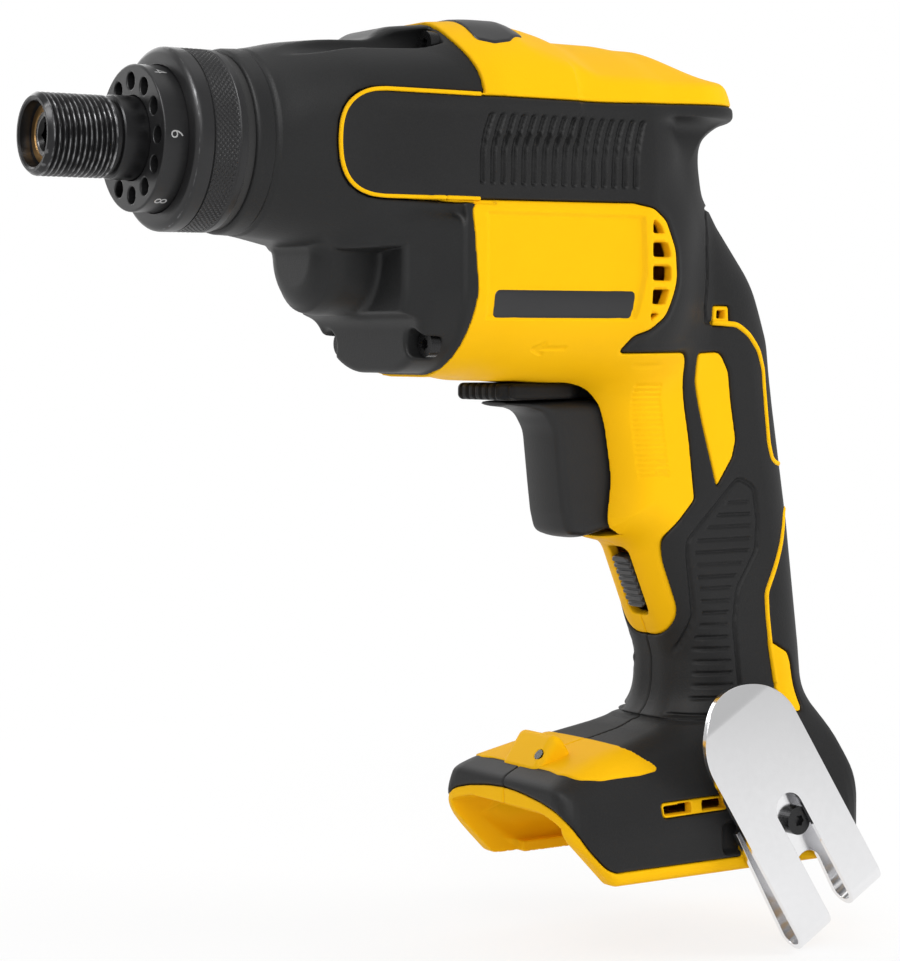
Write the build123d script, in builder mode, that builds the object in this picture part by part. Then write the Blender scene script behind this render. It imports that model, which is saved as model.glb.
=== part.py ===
from build123d import *
import math
import os

# Cordless screwgun with an adjustable clutch, bare tool, in millimetres.
# The origin is the centre of the nose's front rim, +X runs rearwards along the spindle,
# +Z is up and the left side of the tool is -Y.
os.makedirs("parts", exist_ok=True)

# Fits
RUN = 0.05                    # radial running clearance of shafts
SEAT = 0.1                    # clearance of seated pieces
SLIP = 0.3                    # clearance of pieces that slide or turn in the open
REACH = 90.0                  # half length of a cut that passes right through the tool

# Nose, spindle socket and dial
THREAD_RADIUS = 11.0
THREAD_LENGTH = 20.0
RELIEF_RADIUS = 10.0
RELIEF_LENGTH = 1.5
NECK_LENGTH = 7.1
NECK_RADIUS = 11.5
MOUTH_RADIUS = 9.5
MOUTH_DEPTH = 3.3
BUSH_RADIUS = 7.8
BUSH_LENGTH = 16.0
NEEDLE_LENGTH = 9.0
SPINDLE_RECESS = 3.5
SPINDLE_RADIUS = 5.85
SOCKET_FLATS = 6.45
SOCKET_DEPTH = 26.0
SOCKET_MOUTH_RADIUS = 4.6
SOCKET_MOUTH_DEPTH = 1.2
MAGNET_LENGTH = 4.0
DIAL_RADIUS = 19.7
DIAL_DEPTH = 7.0
DIAL_HOLES = 12
DIAL_HOLE_RADIUS = 2.3
DIAL_HOLE_CIRCLE = 15.2
DIAL_HOLE_DEPTH = 5.0
DIAL_FLANGE_STEP = 2.0
DIAL_FLANGE_DEPTH = 1.7
NOSE_FLANGE_RADIUS = 15.0
NOSE_FLANGE_DEPTH = 2.0

# Collar and clutch
COLLAR_RADIUS = 24.75
COLLAR_LENGTH = 15.5
COLLAR_LIP = 1.8
COLLAR_EDGE = 1.2
SNOUT_RADIUS = 20.5
SNOUT_WALL = 3.0
SEAL_LENGTH = 2.3
SEAL_RADIUS = 24.0
NUT_LENGTH = 5.0
NUT_BORE = 9.0
NUT_TRAVEL = 4.0
NUT_LUG_WIDTH = 5.6
CLUTCH_COIL_RADIUS = 14.4
CLUTCH_WIRE_RADIUS = 1.3
CLUTCH_TURNS = 9
PLATE_BORE = 12.0
PRESSURE_RADIUS = 20.0
PRESSURE_DEPTH = 3.0
BALL_RADIUS = 3.0
BALL_COUNT = 8
BALL_CIRCLE = 16.0
CAGE_DEPTH = 2.4
DOG_RADIUS = 10.0
DOG_HEIGHT = 2.0
DOG_BORE = 6.6
DOG_WIDTH = 5.0
DOG_COUNT = 3
DOG_PLATE = 3.0
SPINDLE_PUSH = 4.5            # how far the bit pushes the spindle in
PILOT_RADIUS = 3.5
PILOT_LENGTH = 13.0
PILOT_BORE_DEPTH = 22.0
RETURN_WIRE_RADIUS = 0.45
RETURN_TURNS = 6

# Gear train
GEAR_MODULE = 1.0
PINION_TEETH = 15
GEAR_TEETH = 45
PRESSURE_ANGLE = math.radians(20)
BACKLASH = 0.24
GEAR_WIDTH = 8.0
PINION_WIDTH = 9.0
GEAR_BEARING_GAP = 2.0
DRIVE_SHAFT_RADIUS = 4.0
MOTOR_SHAFT_RADIUS = 2.5
SPINDLE_BEARING_RADIUS = 9.5
SPINDLE_BEARING_LENGTH = 7.0
MOTOR_BEARING_RADIUS = 8.0
MOTOR_BEARING_LENGTH = 5.0
PINION_BUSH_RADIUS = 5.0
PINION_BUSH_LENGTH = 7.0
AXIS_DROP = GEAR_MODULE * (PINION_TEETH + GEAR_TEETH) / 2
MOTOR_HEIGHT = -AXIS_DROP

# Gearcase
RING_RADIUS = 25.2
RING_LENGTH = 7.6
TAPER_LENGTH = 19.0
GEARCASE_BODY = 37.0
CLUTCH_CAVITY_RADIUS = 21.0
GEAR_CLEARANCE = 1.6
BOSS_RADIUS = 17.0
BOSS_ROUND = 9.0
FLANGE_LENGTH = 13.0
CASE_SCREW_RADIUS = 2.0
CASE_SCREW_HEAD = 3.6
CASE_SCREW_HEAD_HEIGHT = 3.5
CASE_SCREW_SOCKET = 2.0       # radius and depth of the driver socket
CASE_SCREW_ACCESS = 30.0      # open length in front of the split for the driver
CASE_SCREW_GRIP = 16.0        # length of thread in the housing
LOWER_SCREW = (23.0, -55.0)
UPPER_SCREW = (17.0, 28.0)
LOWER_SCREW_SINK = 9.5        # from the split back to under the head
UPPER_SCREW_SINK = 3.0

# Housing
WALL = 4.2
RUBBER = 1.8
UPPER_HALF_WIDTH = 31.5
UPPER_TOP = 30.0
UPPER_BOTTOM = -29.0
UPPER_SHOULDER = 20.0
UPPER_LENGTH = 105.0          # from the split to the rear tip
UPPER_PLAN_ROUND = 24.0
RIDGE_HALF_WIDTH = 23.0
RIDGE_TOP = 37.0
RIDGE_ROUND = 11.0
BARREL_HALF_WIDTH = 33.0
BARREL_ROUND = 24.0
BARREL_BOTTOM = -64.5
BARREL_LENGTH = 88.0
BARREL_REAR_ROUND = 16.0
LOBE_LENGTH = 42.0
LOBE_TOP = 14.0
LOBE_BOTTOM = -15.0
LOBE_ROUND = 12.0
LOBE_THICKNESS = 3.2
LOBE_FLOOR = 0.8              # least housing left under the rubber on the lobe
RUBBER_BORDER = 1.6           # housing left showing round the rubber on the lobe
BOSS_SCREW_RADIUS = 1.6
BOSS_SCREW_HEAD = 3.0
BOSS_SCREW_HEAD_HEIGHT = 2.4
BOSS_SCREW_SOCKET = 1.5       # radius and depth of the driver socket
BOSS_SCREW_REACH = 8.0        # either side of the parting plane
BOSS_OUTER = 4.6
VENT_COUNT = 5
VENT_PITCH = 6.8
VENT_LENGTH = 7.0
VENT_HEIGHT = 4.2
VENT_X = 65.0                 # behind the split
VENT_MIDDLE = -34.6

# Motor, set out behind the split
STATOR_FRONT = 19.0
STATOR_LENGTH = 32.0
STATOR_RADIUS = 24.0
STATOR_YOKE = 4.0
STATOR_TEETH = 6
STATOR_TOOTH_WIDTH = 6.0
AIR_GAP = 0.5
ROTOR_RADIUS = 13.0
COIL_WALL = 2.8
COIL_OVERHANG = 3.0
HALL_GAP = 1.2
HALL_THICKNESS = 1.2
FAN_GAP = 1.6
FAN_RADIUS = 23.0
FAN_LENGTH = 10.0
FAN_DISC = 1.6
FAN_BLADES = 11
FAN_HUB_RADIUS = 6.0
REAR_BEARING_GAP = 3.0
RIB = 3.0

# Handle
HANDLE_HALF_WIDTH = 18.0
HANDLE_ROUND = 10.0
HANDLE_BEND = 14.0            # bend radius of its side outline
TONGUE_TOP = (73.5, -115.5)   # front line below the trigger: distance behind the split, height
TONGUE_END = (86.5, -145.0)

# Foot, set out behind the split
FOOT_FRONT = 31.5
FOOT_BACK = 145.0
FOOT_HALF_WIDTH = 35.0
FOOT_CORNER = 10.0
FOOT_BOTTOM = -212.0
FOOT_SIDE_TOP = -190.0
FOOT_MID = (-180.0, 45.0, 144.0, 8.0)      # height, front, back, draw in of each side
FOOT_CROWN = (-171.0, 79.0, 141.0, 14.5)
FOOT_NOSE_RISE = 17.0
FOOT_NOSE_RUN = 16.5
BAY_ROOF = -197.0
ROOF_THICKNESS = 3.0
RAIL_WALL = 6.5
RAIL_LIP = 3.5
RAIL_HEIGHT = 3.5
BAY_LENGTH = 88.0
TERMINAL_FRONT = 88.0
TERMINAL_LENGTH = 27.0
TERMINAL_HALF_WIDTH = 16.0
TERMINAL_HEIGHT = 8.0
CONTACT_COUNT = 4
CONTACT_PITCH = 8.0
CONTACT_THICKNESS = 0.8
CONTACT_LENGTH = 14.0
CONTROL_LENGTH = 32.0
CONTROL_FRONT = 55.0
CONTROL_HALF_WIDTH = 18.0
CONTROL_HEIGHT = 10.0
LABEL = 0.3
LEAD_BEND = 3.0
LEAD_HEIGHT = -57.5           # of the motor leads under the motor
MOTOR_LEAD_RADIUS = 1.1
MOTOR_LEAD_ROW = (5.0, 7.5, 10.0)
BATTERY_LEAD_RADIUS = 1.3
BATTERY_LEAD_ROW = (-8.0, -4.0)
HALL_RADIUS = 23.0
HALL_BORE = 8.0
HALL_POST_RADIUS = 1.5
HALL_POST_CIRCLE = 21.0

# Trigger, switch, reverse lever and lock slider
TRIGGER_HALF_WIDTH = 10.0
TRIGGER_TRAVEL = 6.0
TRIGGER_PLAY = 0.4
TRIGGER_TOP = -71.6
TRIGGER_BOTTOM = -112.5
TRIGGER_BACK = 73.0           # behind the split
SPRING_HEIGHT = -92.0
SPRING_POCKET_RADIUS = 4.0
SPRING_POCKET_DEPTH = 12.0
TRIGGER_COIL_RADIUS = 3.1
TRIGGER_WIRE_RADIUS = 0.45
TRIGGER_TURNS = 7
SWITCH_LENGTH = 33.0
SWITCH_TOP = -72.5
SWITCH_BOTTOM = -106.0
LEVER_PIVOT = 67.0            # behind the split
LEVER_TOP = -66.6
LEVER_BOTTOM = -71.2
LEVER_PIN_RADIUS = 2.5
LEVER_PIN_LENGTH = 5.0
SLIDER_BELOW = 12.6           # its middle, down the front line
SLIDER_LENGTH = 15.0
SLIDER_WIDTH = 8.0
SLIDER_TRAVEL = 3.0
SLIDER_PROUD = 1.6
SLIDER_DEPTH = WALL + SLIP    # from the handle's face in to the flange
SLIDER_FLANGE = 1.5
SLIDER_FLANGE_STEP = 1.6

# Belt hook
HOOK_TOP = (91.5, -155.5)     # behind the split, height
HOOK_TILT = math.radians(25.9)
HOOK_WIDTH = 36.0
HOOK_LENGTH = 79.8
HOOK_THICKNESS = 1.6
HOOK_GAP = 6.4
HOOK_PAD = 1.4
HOOK_PAD_RADIUS = 7.0
HOOK_SLOT_WIDTH = 10.0
HOOK_SLOT_TOP = 36.0
HOOK_TAB_TOP = 38.0
HOOK_TAB_SLOT = 58.0
HOOK_SCREW_ALONG = 47.0
HOOK_SCREW_RADIUS = 2.0
HOOK_SCREW_HEAD = 4.4
HOOK_SCREW_HEAD_HEIGHT = 2.6
HOOK_SCREW_SOCKET = 1.6       # radius and depth of the driver socket
INSERT_RADIUS = 3.5
INSERT_LENGTH = 6.0

# Places along the tool that follow from the lengths above
DIAL_FRONT = THREAD_LENGTH + RELIEF_LENGTH + NECK_LENGTH
COLLAR_FRONT = DIAL_FRONT + DIAL_DEPTH
COLLAR_REAR = COLLAR_FRONT + COLLAR_LENGTH
DIAL_FLANGE_FRONT = COLLAR_FRONT + COLLAR_LIP + SEAT
SNOUT_FRONT = DIAL_FLANGE_FRONT + DIAL_FLANGE_DEPTH + SEAT
RING_FRONT = COLLAR_REAR + SEAL_LENGTH
RING_REAR = RING_FRONT + RING_LENGTH
TAPER_REAR = RING_REAR + TAPER_LENGTH
SPLIT = TAPER_REAR + GEARCASE_BODY
SNOUT_BORE = SNOUT_RADIUS - SNOUT_WALL
NUT_FRONT = SNOUT_FRONT + NOSE_FLANGE_DEPTH + 3 * SEAT
PLATE_FRONT = SPLIT + 1.0 - SPINDLE_BEARING_LENGTH
GEAR_REAR = PLATE_FRONT - GEAR_BEARING_GAP
GEAR_FRONT = GEAR_REAR - GEAR_WIDTH
PRESSURE_REAR = GEAR_FRONT - 2 * BALL_RADIUS
PRESSURE_FRONT = PRESSURE_REAR - PRESSURE_DEPTH
DOG_FACE = GEAR_FRONT - DOG_PLATE - SEAT
SPINDLE_REAR = DOG_FACE - DOG_HEIGHT - SPINDLE_PUSH - SLIP
GEAR_TIP_RADIUS = GEAR_MODULE * (GEAR_TEETH / 2 + 0.8)
GEAR_CAVITY_RADIUS = GEAR_TIP_RADIUS + GEAR_CLEARANCE
PINION_REAR = GEAR_REAR + 0.5
PINION_FRONT = PINION_REAR - PINION_WIDTH
PINION_BUSH_REAR = PINION_FRONT - 1.0
PINION_BUSH_FRONT = PINION_BUSH_REAR - PINION_BUSH_LENGTH
BOSS_FRONT = PINION_BUSH_FRONT - 6.0
FLANGE_FRONT = SPLIT - FLANGE_LENGTH
STATOR_START = SPLIT + STATOR_FRONT
STATOR_END = STATOR_START + STATOR_LENGTH
HALL_START = STATOR_END + COIL_OVERHANG + HALL_GAP
FAN_START = HALL_START + HALL_THICKNESS + FAN_GAP
FAN_END = FAN_START + FAN_LENGTH
REAR_BEARING_START = FAN_END + REAR_BEARING_GAP
REAR_BEARING_END = REAR_BEARING_START + MOTOR_BEARING_LENGTH
BARREL_SIZE = 2 * BARREL_HALF_WIDTH
BARREL_MIDDLE = BARREL_BOTTOM + BARREL_HALF_WIDTH
BAY_HALF_WIDTH = FOOT_HALF_WIDTH - RAIL_WALL
TRIGGER_REAR = SPLIT + TRIGGER_BACK
SWITCH_FRONT = TRIGGER_REAR + TRIGGER_TRAVEL + 1.0
SWITCH_HALF_WIDTH = HANDLE_HALF_WIDTH - WALL - SLIP
HOOK_ORIGIN = (SPLIT + HOOK_TOP[0], 0, HOOK_TOP[1])
HOOK_DOWN = (math.sin(HOOK_TILT), 0, -math.cos(HOOK_TILT))
HOOK_ACROSS = (math.cos(HOOK_TILT), 0, math.sin(HOOK_TILT))
HOOK_SCREW_X = HOOK_ORIGIN[0] + HOOK_SCREW_ALONG * HOOK_DOWN[0]
HOOK_SCREW_Z = HOOK_ORIGIN[2] + HOOK_SCREW_ALONG * HOOK_DOWN[2]
PAD_FACE = FOOT_HALF_WIDTH + HOOK_PAD
HOOK_INNER = PAD_FACE + HOOK_THICKNESS
HOOK_OUTER = HOOK_INNER + HOOK_GAP

# Screw bosses that join the two halves: distance behind the split, height
HOUSING_SCREWS = [
    (15.0, 20.0),
    (61.0, 20.0),
    (88.0, 12.0),
    (105.0, -46.0),
    (95.0, -124.0),
    (91.0, -152.0),
    (129.0, -186.0),
    (47.0, -188.0),
]
SCREW_POINTS = [(SPLIT + x, z) for x, z in HOUSING_SCREWS]

# The lock slider runs in the middle of the handle's front, below the trigger
TONGUE_UP = Vector(TONGUE_TOP[0] - TONGUE_END[0], 0, TONGUE_TOP[1] - TONGUE_END[1]).normalized()
SLIDER_PLANE = Plane(
    origin=Vector(SPLIT + TONGUE_TOP[0], 0, TONGUE_TOP[1]) - TONGUE_UP * SLIDER_BELOW,
    x_dir=TONGUE_UP,
    z_dir=Vector(-TONGUE_UP.Z, 0, TONGUE_UP.X),
)
HOOK_SIDE = Plane(origin=HOOK_ORIGIN, x_dir=HOOK_DOWN, z_dir=HOOK_ACROSS)
HOOK_FACE = Plane(origin=HOOK_ORIGIN, x_dir=HOOK_DOWN, z_dir=(0, 1, 0))


def turned(profile, height=0.0):
    """A solid turned about an axis along X at the given height, from (x, radius) points."""
    with BuildPart() as piece:
        with BuildSketch(Plane.XZ):
            with BuildLine():
                Polyline(*[(x, height + radius) for x, radius in profile], close=True)
            make_face()
        revolve(axis=Axis((0, 0, height), (1, 0, 0)))
    return piece.part


def tube(start, end, outer, bore, height=0.0):
    """A plain ring along X."""
    return turned([(start, bore), (start, outer), (end, outer), (end, bore)], height)


def rod(start, end, radius, height=0.0):
    """A plain bar along X."""
    return turned([(start, 0), (start, radius), (end, radius), (end, 0)], height)


def post(x, y, bottom, top, radius):
    """A plain upright bar."""
    with BuildPart() as piece:
        with BuildSketch(Plane.XY.offset(bottom)):
            with Locations((x, y)):
                Circle(radius)
        extrude(amount=top - bottom)
    return piece.part


def stud(y, z, front, rear, radius):
    """A plain bar along the tool, off its axis."""
    with BuildPart() as piece:
        with BuildSketch(Plane.YZ.offset(front)):
            with Locations((y, z)):
                Circle(radius)
        extrude(amount=rear - front)
    return piece.part


def cross_bar(x, z, start, end, radius):
    """A plain round bar across the tool, from Y start to Y end."""
    with BuildPart() as piece:
        with BuildSketch(Plane.XZ.offset(-end)):
            with Locations((x, z)):
                Circle(radius)
        extrude(amount=end - start)
    return piece.part


def block(x_span, y_span, z_span):
    """A plain block between the given limits."""
    with BuildPart() as piece:
        with BuildSketch(Plane.XY.offset(z_span[0])):
            with Locations(((x_span[0] + x_span[1]) / 2, (y_span[0] + y_span[1]) / 2)):
                Rectangle(x_span[1] - x_span[0], y_span[1] - y_span[0])
        extrude(amount=z_span[1] - z_span[0])
    return piece.part


def side_prism(outline, half_width, round_radius=0.0):
    """A prism across the tool whose side view is the closed outline."""
    with BuildPart() as piece:
        with BuildSketch(Plane.XZ):
            with BuildLine():
                if round_radius:
                    FilletPolyline(*outline, radius=round_radius, close=True)
                else:
                    Polyline(*outline, close=True)
            make_face()
        extrude(amount=half_width, both=True)
    return piece.part


def coil(start, end, coil_radius, wire_radius, turns, height):
    """A compression spring along X whose ends lie between start and end."""
    span = end - start - 2 * wire_radius
    with BuildPart() as piece:
        with BuildLine() as path:
            Helix(
                pitch=span / turns,
                height=span,
                radius=coil_radius,
                center=(start + wire_radius, 0, height),
                direction=(1, 0, 0),
            )
        with BuildSketch(Plane(origin=path.line @ 0, z_dir=path.line % 0)):
            Circle(wire_radius)
        sweep(is_frenet=True)
    return piece.part


def gear_outline(teeth, tip_height, first_tooth):
    """Corner points of a spur gear with involute flanks, the first tooth at an angle."""
    pitch_radius = GEAR_MODULE * teeth / 2
    base_radius = pitch_radius * math.cos(PRESSURE_ANGLE)
    tip_radius = pitch_radius + tip_height * GEAR_MODULE
    root_radius = pitch_radius - 1.3 * GEAR_MODULE

    def half_angle(radius):
        reach = math.acos(min(1.0, base_radius / radius))
        rise = math.tan(reach) - reach
        at_pitch = math.tan(PRESSURE_ANGLE) - PRESSURE_ANGLE
        return math.pi / (2 * teeth) - BACKLASH / (2 * pitch_radius) + at_pitch - rise

    flank_start = max(base_radius, root_radius)
    flank = [flank_start, pitch_radius, tip_radius]
    steps = [(root_radius, half_angle(flank_start) + 0.1 / root_radius)]
    steps += [(radius, half_angle(radius)) for radius in flank]
    tooth = [(radius, -angle) for radius, angle in steps]
    tooth += [(radius, angle) for radius, angle in reversed(steps)]
    corners = []
    for index in range(teeth):
        middle = first_tooth + index * 2 * math.pi / teeth
        corners += [(r * math.cos(middle + a), r * math.sin(middle + a)) for r, a in tooth]
    return corners


def upper_solid(inset):
    """The long upper body from the gearcase ring to the rear tip, at a depth below its skin."""
    width = 2 * (UPPER_HALF_WIDTH - inset)
    height = UPPER_TOP - UPPER_BOTTOM - 2 * inset
    middle = (UPPER_TOP + UPPER_BOTTOM) / 2
    tip = SPLIT + UPPER_LENGTH
    with BuildPart() as solid:
        with BuildSketch(Plane.YZ.offset(RING_REAR)):
            RectangleRounded(
                2 * (RING_RADIUS - inset), 2 * (RING_RADIUS - inset), RING_RADIUS - inset - 0.05
            )
        with BuildSketch(Plane.YZ.offset(TAPER_REAR)):
            with Locations((0, middle)):
                RectangleRounded(width, height, UPPER_SHOULDER - inset)
        loft()
        with BuildSketch(Plane.YZ.offset(TAPER_REAR)):
            with Locations((0, middle)):
                RectangleRounded(width, height, UPPER_SHOULDER - inset)
        extrude(amount=tip - TAPER_REAR)
        add(ridge_solid(inset))
        with BuildSketch(Plane.XZ):
            with BuildLine():
                Polyline(
                    (SPLIT + 93.5, -19.0),
                    (SPLIT + 113.0, -27.0),
                    (SPLIT + 113.0, UPPER_BOTTOM - 12.0),
                    (RING_REAR, UPPER_BOTTOM - 12.0),
                    (RING_REAR, RIDGE_TOP + 8.0),
                    (SPLIT + 82.0, RIDGE_TOP + 8.0),
                    (SPLIT + 82.0, 32.5),
                    (SPLIT + 102.0, 25.5),
                    (tip, 20.5),
                    (SPLIT + 104.0, 15.0),
                )
                ThreePointArc((SPLIT + 104.0, 15.0), (SPLIT + 93.0, 0.0), (SPLIT + 93.5, -19.0))
            make_face()
            if inset:
                offset(amount=-inset)
        extrude(amount=REACH, both=True, mode=Mode.INTERSECT)
        plan_front = RING_REAR - 10.0
        with BuildSketch(Plane.XY) as plan:
            with Locations(((plan_front + tip) / 2, 0)):
                Rectangle(tip - plan_front, 2 * UPPER_HALF_WIDTH)
            fillet(plan.vertices().group_by(Axis.X)[-1], radius=UPPER_PLAN_ROUND)
            if inset:
                offset(amount=-inset)
        extrude(amount=REACH, both=True, mode=Mode.INTERSECT)
    return solid.part


def ridge_solid(inset):
    """The raised ridge along the top, with its front ramp and its step down at the rear."""
    top = RIDGE_TOP - inset
    with BuildPart() as solid:
        with BuildSketch(Plane.YZ.offset(SPLIT - 25.0)):
            RectangleRounded(2 * (RIDGE_HALF_WIDTH - inset), 2 * top, RIDGE_ROUND - inset)
        extrude(amount=UPPER_LENGTH + 25.0)
        with BuildSketch(Plane.XZ):
            with BuildLine():
                Polyline(
                    (SPLIT - 19.5, 0.0),
                    (SPLIT - 19.5, 29.0),
                    (SPLIT - 15.5, 33.5),
                    (SPLIT - 5.0, 35.6),
                    (SPLIT + 1.0, RIDGE_TOP),
                    (SPLIT + 26.0, RIDGE_TOP),
                    (SPLIT + 45.0, 32.5),
                    (SPLIT + UPPER_LENGTH + 5.0, 32.5),
                    (SPLIT + UPPER_LENGTH + 5.0, 0.0),
                    close=True,
                )
            make_face()
            if inset:
                offset(amount=-inset)
        extrude(amount=REACH, both=True, mode=Mode.INTERSECT)
    return solid.part


def barrel_section(start, end, inset):
    """The rounded square section of the motor barrel, extruded along X."""
    with BuildPart() as solid:
        with BuildSketch(Plane.YZ.offset(start)):
            with Locations((0, BARREL_MIDDLE)):
                RectangleRounded(
                    BARREL_SIZE - 2 * inset, BARREL_SIZE - 2 * inset, BARREL_ROUND - inset
                )
        extrude(amount=end - start)
    return solid.part


def barrel_solid(inset):
    """The motor barrel behind the split, with a rounded rear end."""
    end = SPLIT + BARREL_LENGTH - inset
    with BuildPart() as solid:
        add(barrel_section(SPLIT, end, inset))
        fillet(solid.faces().sort_by(Axis.X)[-1].edges(), radius=BARREL_REAR_ROUND - inset)
    return solid.part


def handle_solid(inset):
    """The handle: its side outline across the tool, with both rims rounded."""
    with BuildPart() as solid:
        with BuildSketch(Plane.XZ):
            with BuildLine():
                FilletPolyline(
                    (SPLIT + 50.0, -30.0),
                    (SPLIT + 50.0, -62.0),
                    (SPLIT + 59.0, -84.0),
                    (SPLIT + 58.5, -109.5),
                    (SPLIT + TONGUE_TOP[0], TONGUE_TOP[1]),
                    (SPLIT + TONGUE_END[0], TONGUE_END[1]),
                    (SPLIT + 84.0, -187.0),
                    (SPLIT + 142.0, -187.0),
                    (SPLIT + 133.0, -112.0),
                    (SPLIT + 127.0, -66.0),
                    (SPLIT + 113.0, -30.0),
                    (SPLIT + 93.0, -8.0),
                    (SPLIT + 60.0, -8.0),
                    radius=HANDLE_BEND,
                    close=True,
                )
            make_face()
            if inset:
                offset(amount=-inset)
        extrude(amount=HANDLE_HALF_WIDTH - inset, both=True)
        rims = solid.faces().filter_by(Plane.XZ).edges()
        fillet(rims, radius=HANDLE_ROUND - inset)
    return solid.part


def foot_solid(inset):
    """The battery foot: an upright skirt under a crown that runs up to the handle."""
    length = FOOT_BACK - FOOT_FRONT
    centre = SPLIT + (FOOT_FRONT + FOOT_BACK) / 2
    with BuildPart() as solid:
        with BuildSketch(Plane.XY.offset(FOOT_BOTTOM)):
            with Locations((centre, 0)):
                RectangleRounded(
                    length - 2 * inset, 2 * (FOOT_HALF_WIDTH - inset), FOOT_CORNER - inset
                )
        extrude(amount=FOOT_SIDE_TOP - inset - FOOT_BOTTOM)
        with BuildSketch(Plane.XY.offset(FOOT_SIDE_TOP - inset)):
            with Locations((centre, 0)):
                RectangleRounded(
                    length - 2 * inset, 2 * (FOOT_HALF_WIDTH - inset), FOOT_CORNER - inset
                )
        for height, front, back, draw in (FOOT_MID, FOOT_CROWN):
            with BuildSketch(Plane.XY.offset(height - inset)):
                with Locations((SPLIT + (front + back) / 2, 0)):
                    RectangleRounded(
                        back - front - 2 * inset,
                        2 * (FOOT_HALF_WIDTH - draw - inset),
                        FOOT_CORNER - inset,
                    )
        loft(ruled=True)
        with BuildSketch(Plane.XZ):
            with BuildLine():
                Polyline(
                    (SPLIT + FOOT_FRONT - 2, FOOT_BOTTOM + FOOT_NOSE_RISE),
                    (SPLIT + FOOT_FRONT, FOOT_BOTTOM + FOOT_NOSE_RISE),
                    (SPLIT + FOOT_FRONT + FOOT_NOSE_RUN, FOOT_BOTTOM),
                    (SPLIT + FOOT_FRONT + FOOT_NOSE_RUN, FOOT_BOTTOM - 2),
                    (SPLIT + FOOT_FRONT - 2, FOOT_BOTTOM - 2),
                    close=True,
                )
            make_face()
        extrude(amount=REACH, both=True, mode=Mode.SUBTRACT)
    return solid.part


def body_solid(inset):
    """The whole outer body at a depth below its skin."""
    with BuildPart() as solid:
        add(upper_solid(inset))
        add(barrel_solid(inset))
        add(handle_solid(inset))
        add(foot_solid(inset))
    return solid.part


def lobe_outline(margin):
    """Side view of the housing's forward lobe, which lies in a pocket of the gearcase."""
    front = SPLIT - LOBE_LENGTH - margin
    return [
        (front, LOBE_TOP + margin),
        (SPLIT + 1.5, LOBE_TOP + margin),
        (SPLIT + 1.5, LOBE_BOTTOM - margin),
        (front, LOBE_BOTTOM - margin),
    ]


def lobe_prism(margin):
    """Prism across the tool through the lobes, with its front corners rounded."""
    with BuildPart() as piece:
        with BuildSketch(Plane.XZ):
            with BuildLine():
                Polyline(*lobe_outline(margin), close=True)
            make_face()
        extrude(amount=REACH, both=True)
        front_edges = piece.edges().filter_by(Axis.Y).group_by(Axis.X)[0]
        fillet(front_edges, radius=LOBE_ROUND + margin)
    return piece.part


SKIN = body_solid(0.0)
CORE = body_solid(RUBBER)
CAVITY = body_solid(WALL)
LOBE_INNER = UPPER_HALF_WIDTH - LOBE_THICKNESS

# Side view of the rubber grip, from the lobe back over the handle and the foot
RUBBER_OUTLINE = [
    (SPLIT, LOBE_TOP - RUBBER_BORDER),
    (SPLIT + 125.0, LOBE_TOP - RUBBER_BORDER),
    (SPLIT + 160.0, -100.0),
    (SPLIT + 160.0, FOOT_BOTTOM + 4.0),
    (SPLIT + FOOT_FRONT + 18.0, FOOT_BOTTOM + 4.0),
    (SPLIT + FOOT_FRONT - 3.0, FOOT_BOTTOM + FOOT_NOSE_RISE + 4.0),
    (SPLIT + FOOT_FRONT - 3.0, FOOT_CROWN[0] + 6.0),
    (SPLIT + 80.0, FOOT_CROWN[0] + 6.0),
    (SPLIT + 82.0, -144.0),
    (SPLIT + 84.0, -132.0),
    (SPLIT + 76.0, -113.0),
    (SPLIT + 88.0, -101.5),
    (SPLIT + 76.0, -62.0),
    (SPLIT + 72.0, -57.0),
    (SPLIT + 76.0, -30.0),
    (SPLIT + 66.0, LOBE_BOTTOM + RUBBER_BORDER),
    (SPLIT, LOBE_BOTTOM + RUBBER_BORDER),
]

with BuildPart() as rubber_area:
    add(side_prism(RUBBER_OUTLINE, REACH))
    add(lobe_prism(-RUBBER_BORDER))
    add(
        block(
            (RING_REAR, SPLIT + 1), (-LOBE_INNER - LOBE_FLOOR, LOBE_INNER + LOBE_FLOOR), (-REACH, REACH)
        ),
        mode=Mode.SUBTRACT,
    )

with BuildPart() as rubber_skin:
    add(SKIN)
    add(CORE, mode=Mode.SUBTRACT)
    add(rubber_area.part, mode=Mode.INTERSECT)
    with BuildSketch(Plane.XZ):
        with Locations((HOOK_SCREW_X, HOOK_SCREW_Z)):
            Circle(HOOK_PAD_RADIUS + SLIP)
    extrude(amount=REACH, both=True, mode=Mode.SUBTRACT)
    for screw_x, screw_z in SCREW_POINTS:
        with BuildSketch(Plane.XZ):
            with Locations((screw_x, screw_z)):
                Circle(BOSS_SCREW_HEAD + SLIP)
        extrude(amount=-REACH, mode=Mode.SUBTRACT)

with BuildPart() as left_overmould:
    add(rubber_skin.part)
    split(bisect_by=Plane.XZ, keep=Keep.TOP)

with BuildPart() as right_overmould:
    add(rubber_skin.part)
    split(bisect_by=Plane.XZ, keep=Keep.BOTTOM)

# Clamshell housing: skin, ribs and screw bosses, before it is parted on the middle plane
with BuildPart() as lobes:
    add(upper_solid(0.0))
    add(lobe_prism(0.0), mode=Mode.INTERSECT)
    add(block((0, SPLIT + 3), (-LOBE_INNER, LOBE_INNER), (-REACH, REACH)), mode=Mode.SUBTRACT)

with BuildPart() as hollow:
    add(CAVITY)
    add(block((0, 400), (-REACH, REACH), (BAY_ROOF + ROOF_THICKNESS, 90)), mode=Mode.INTERSECT)

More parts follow.
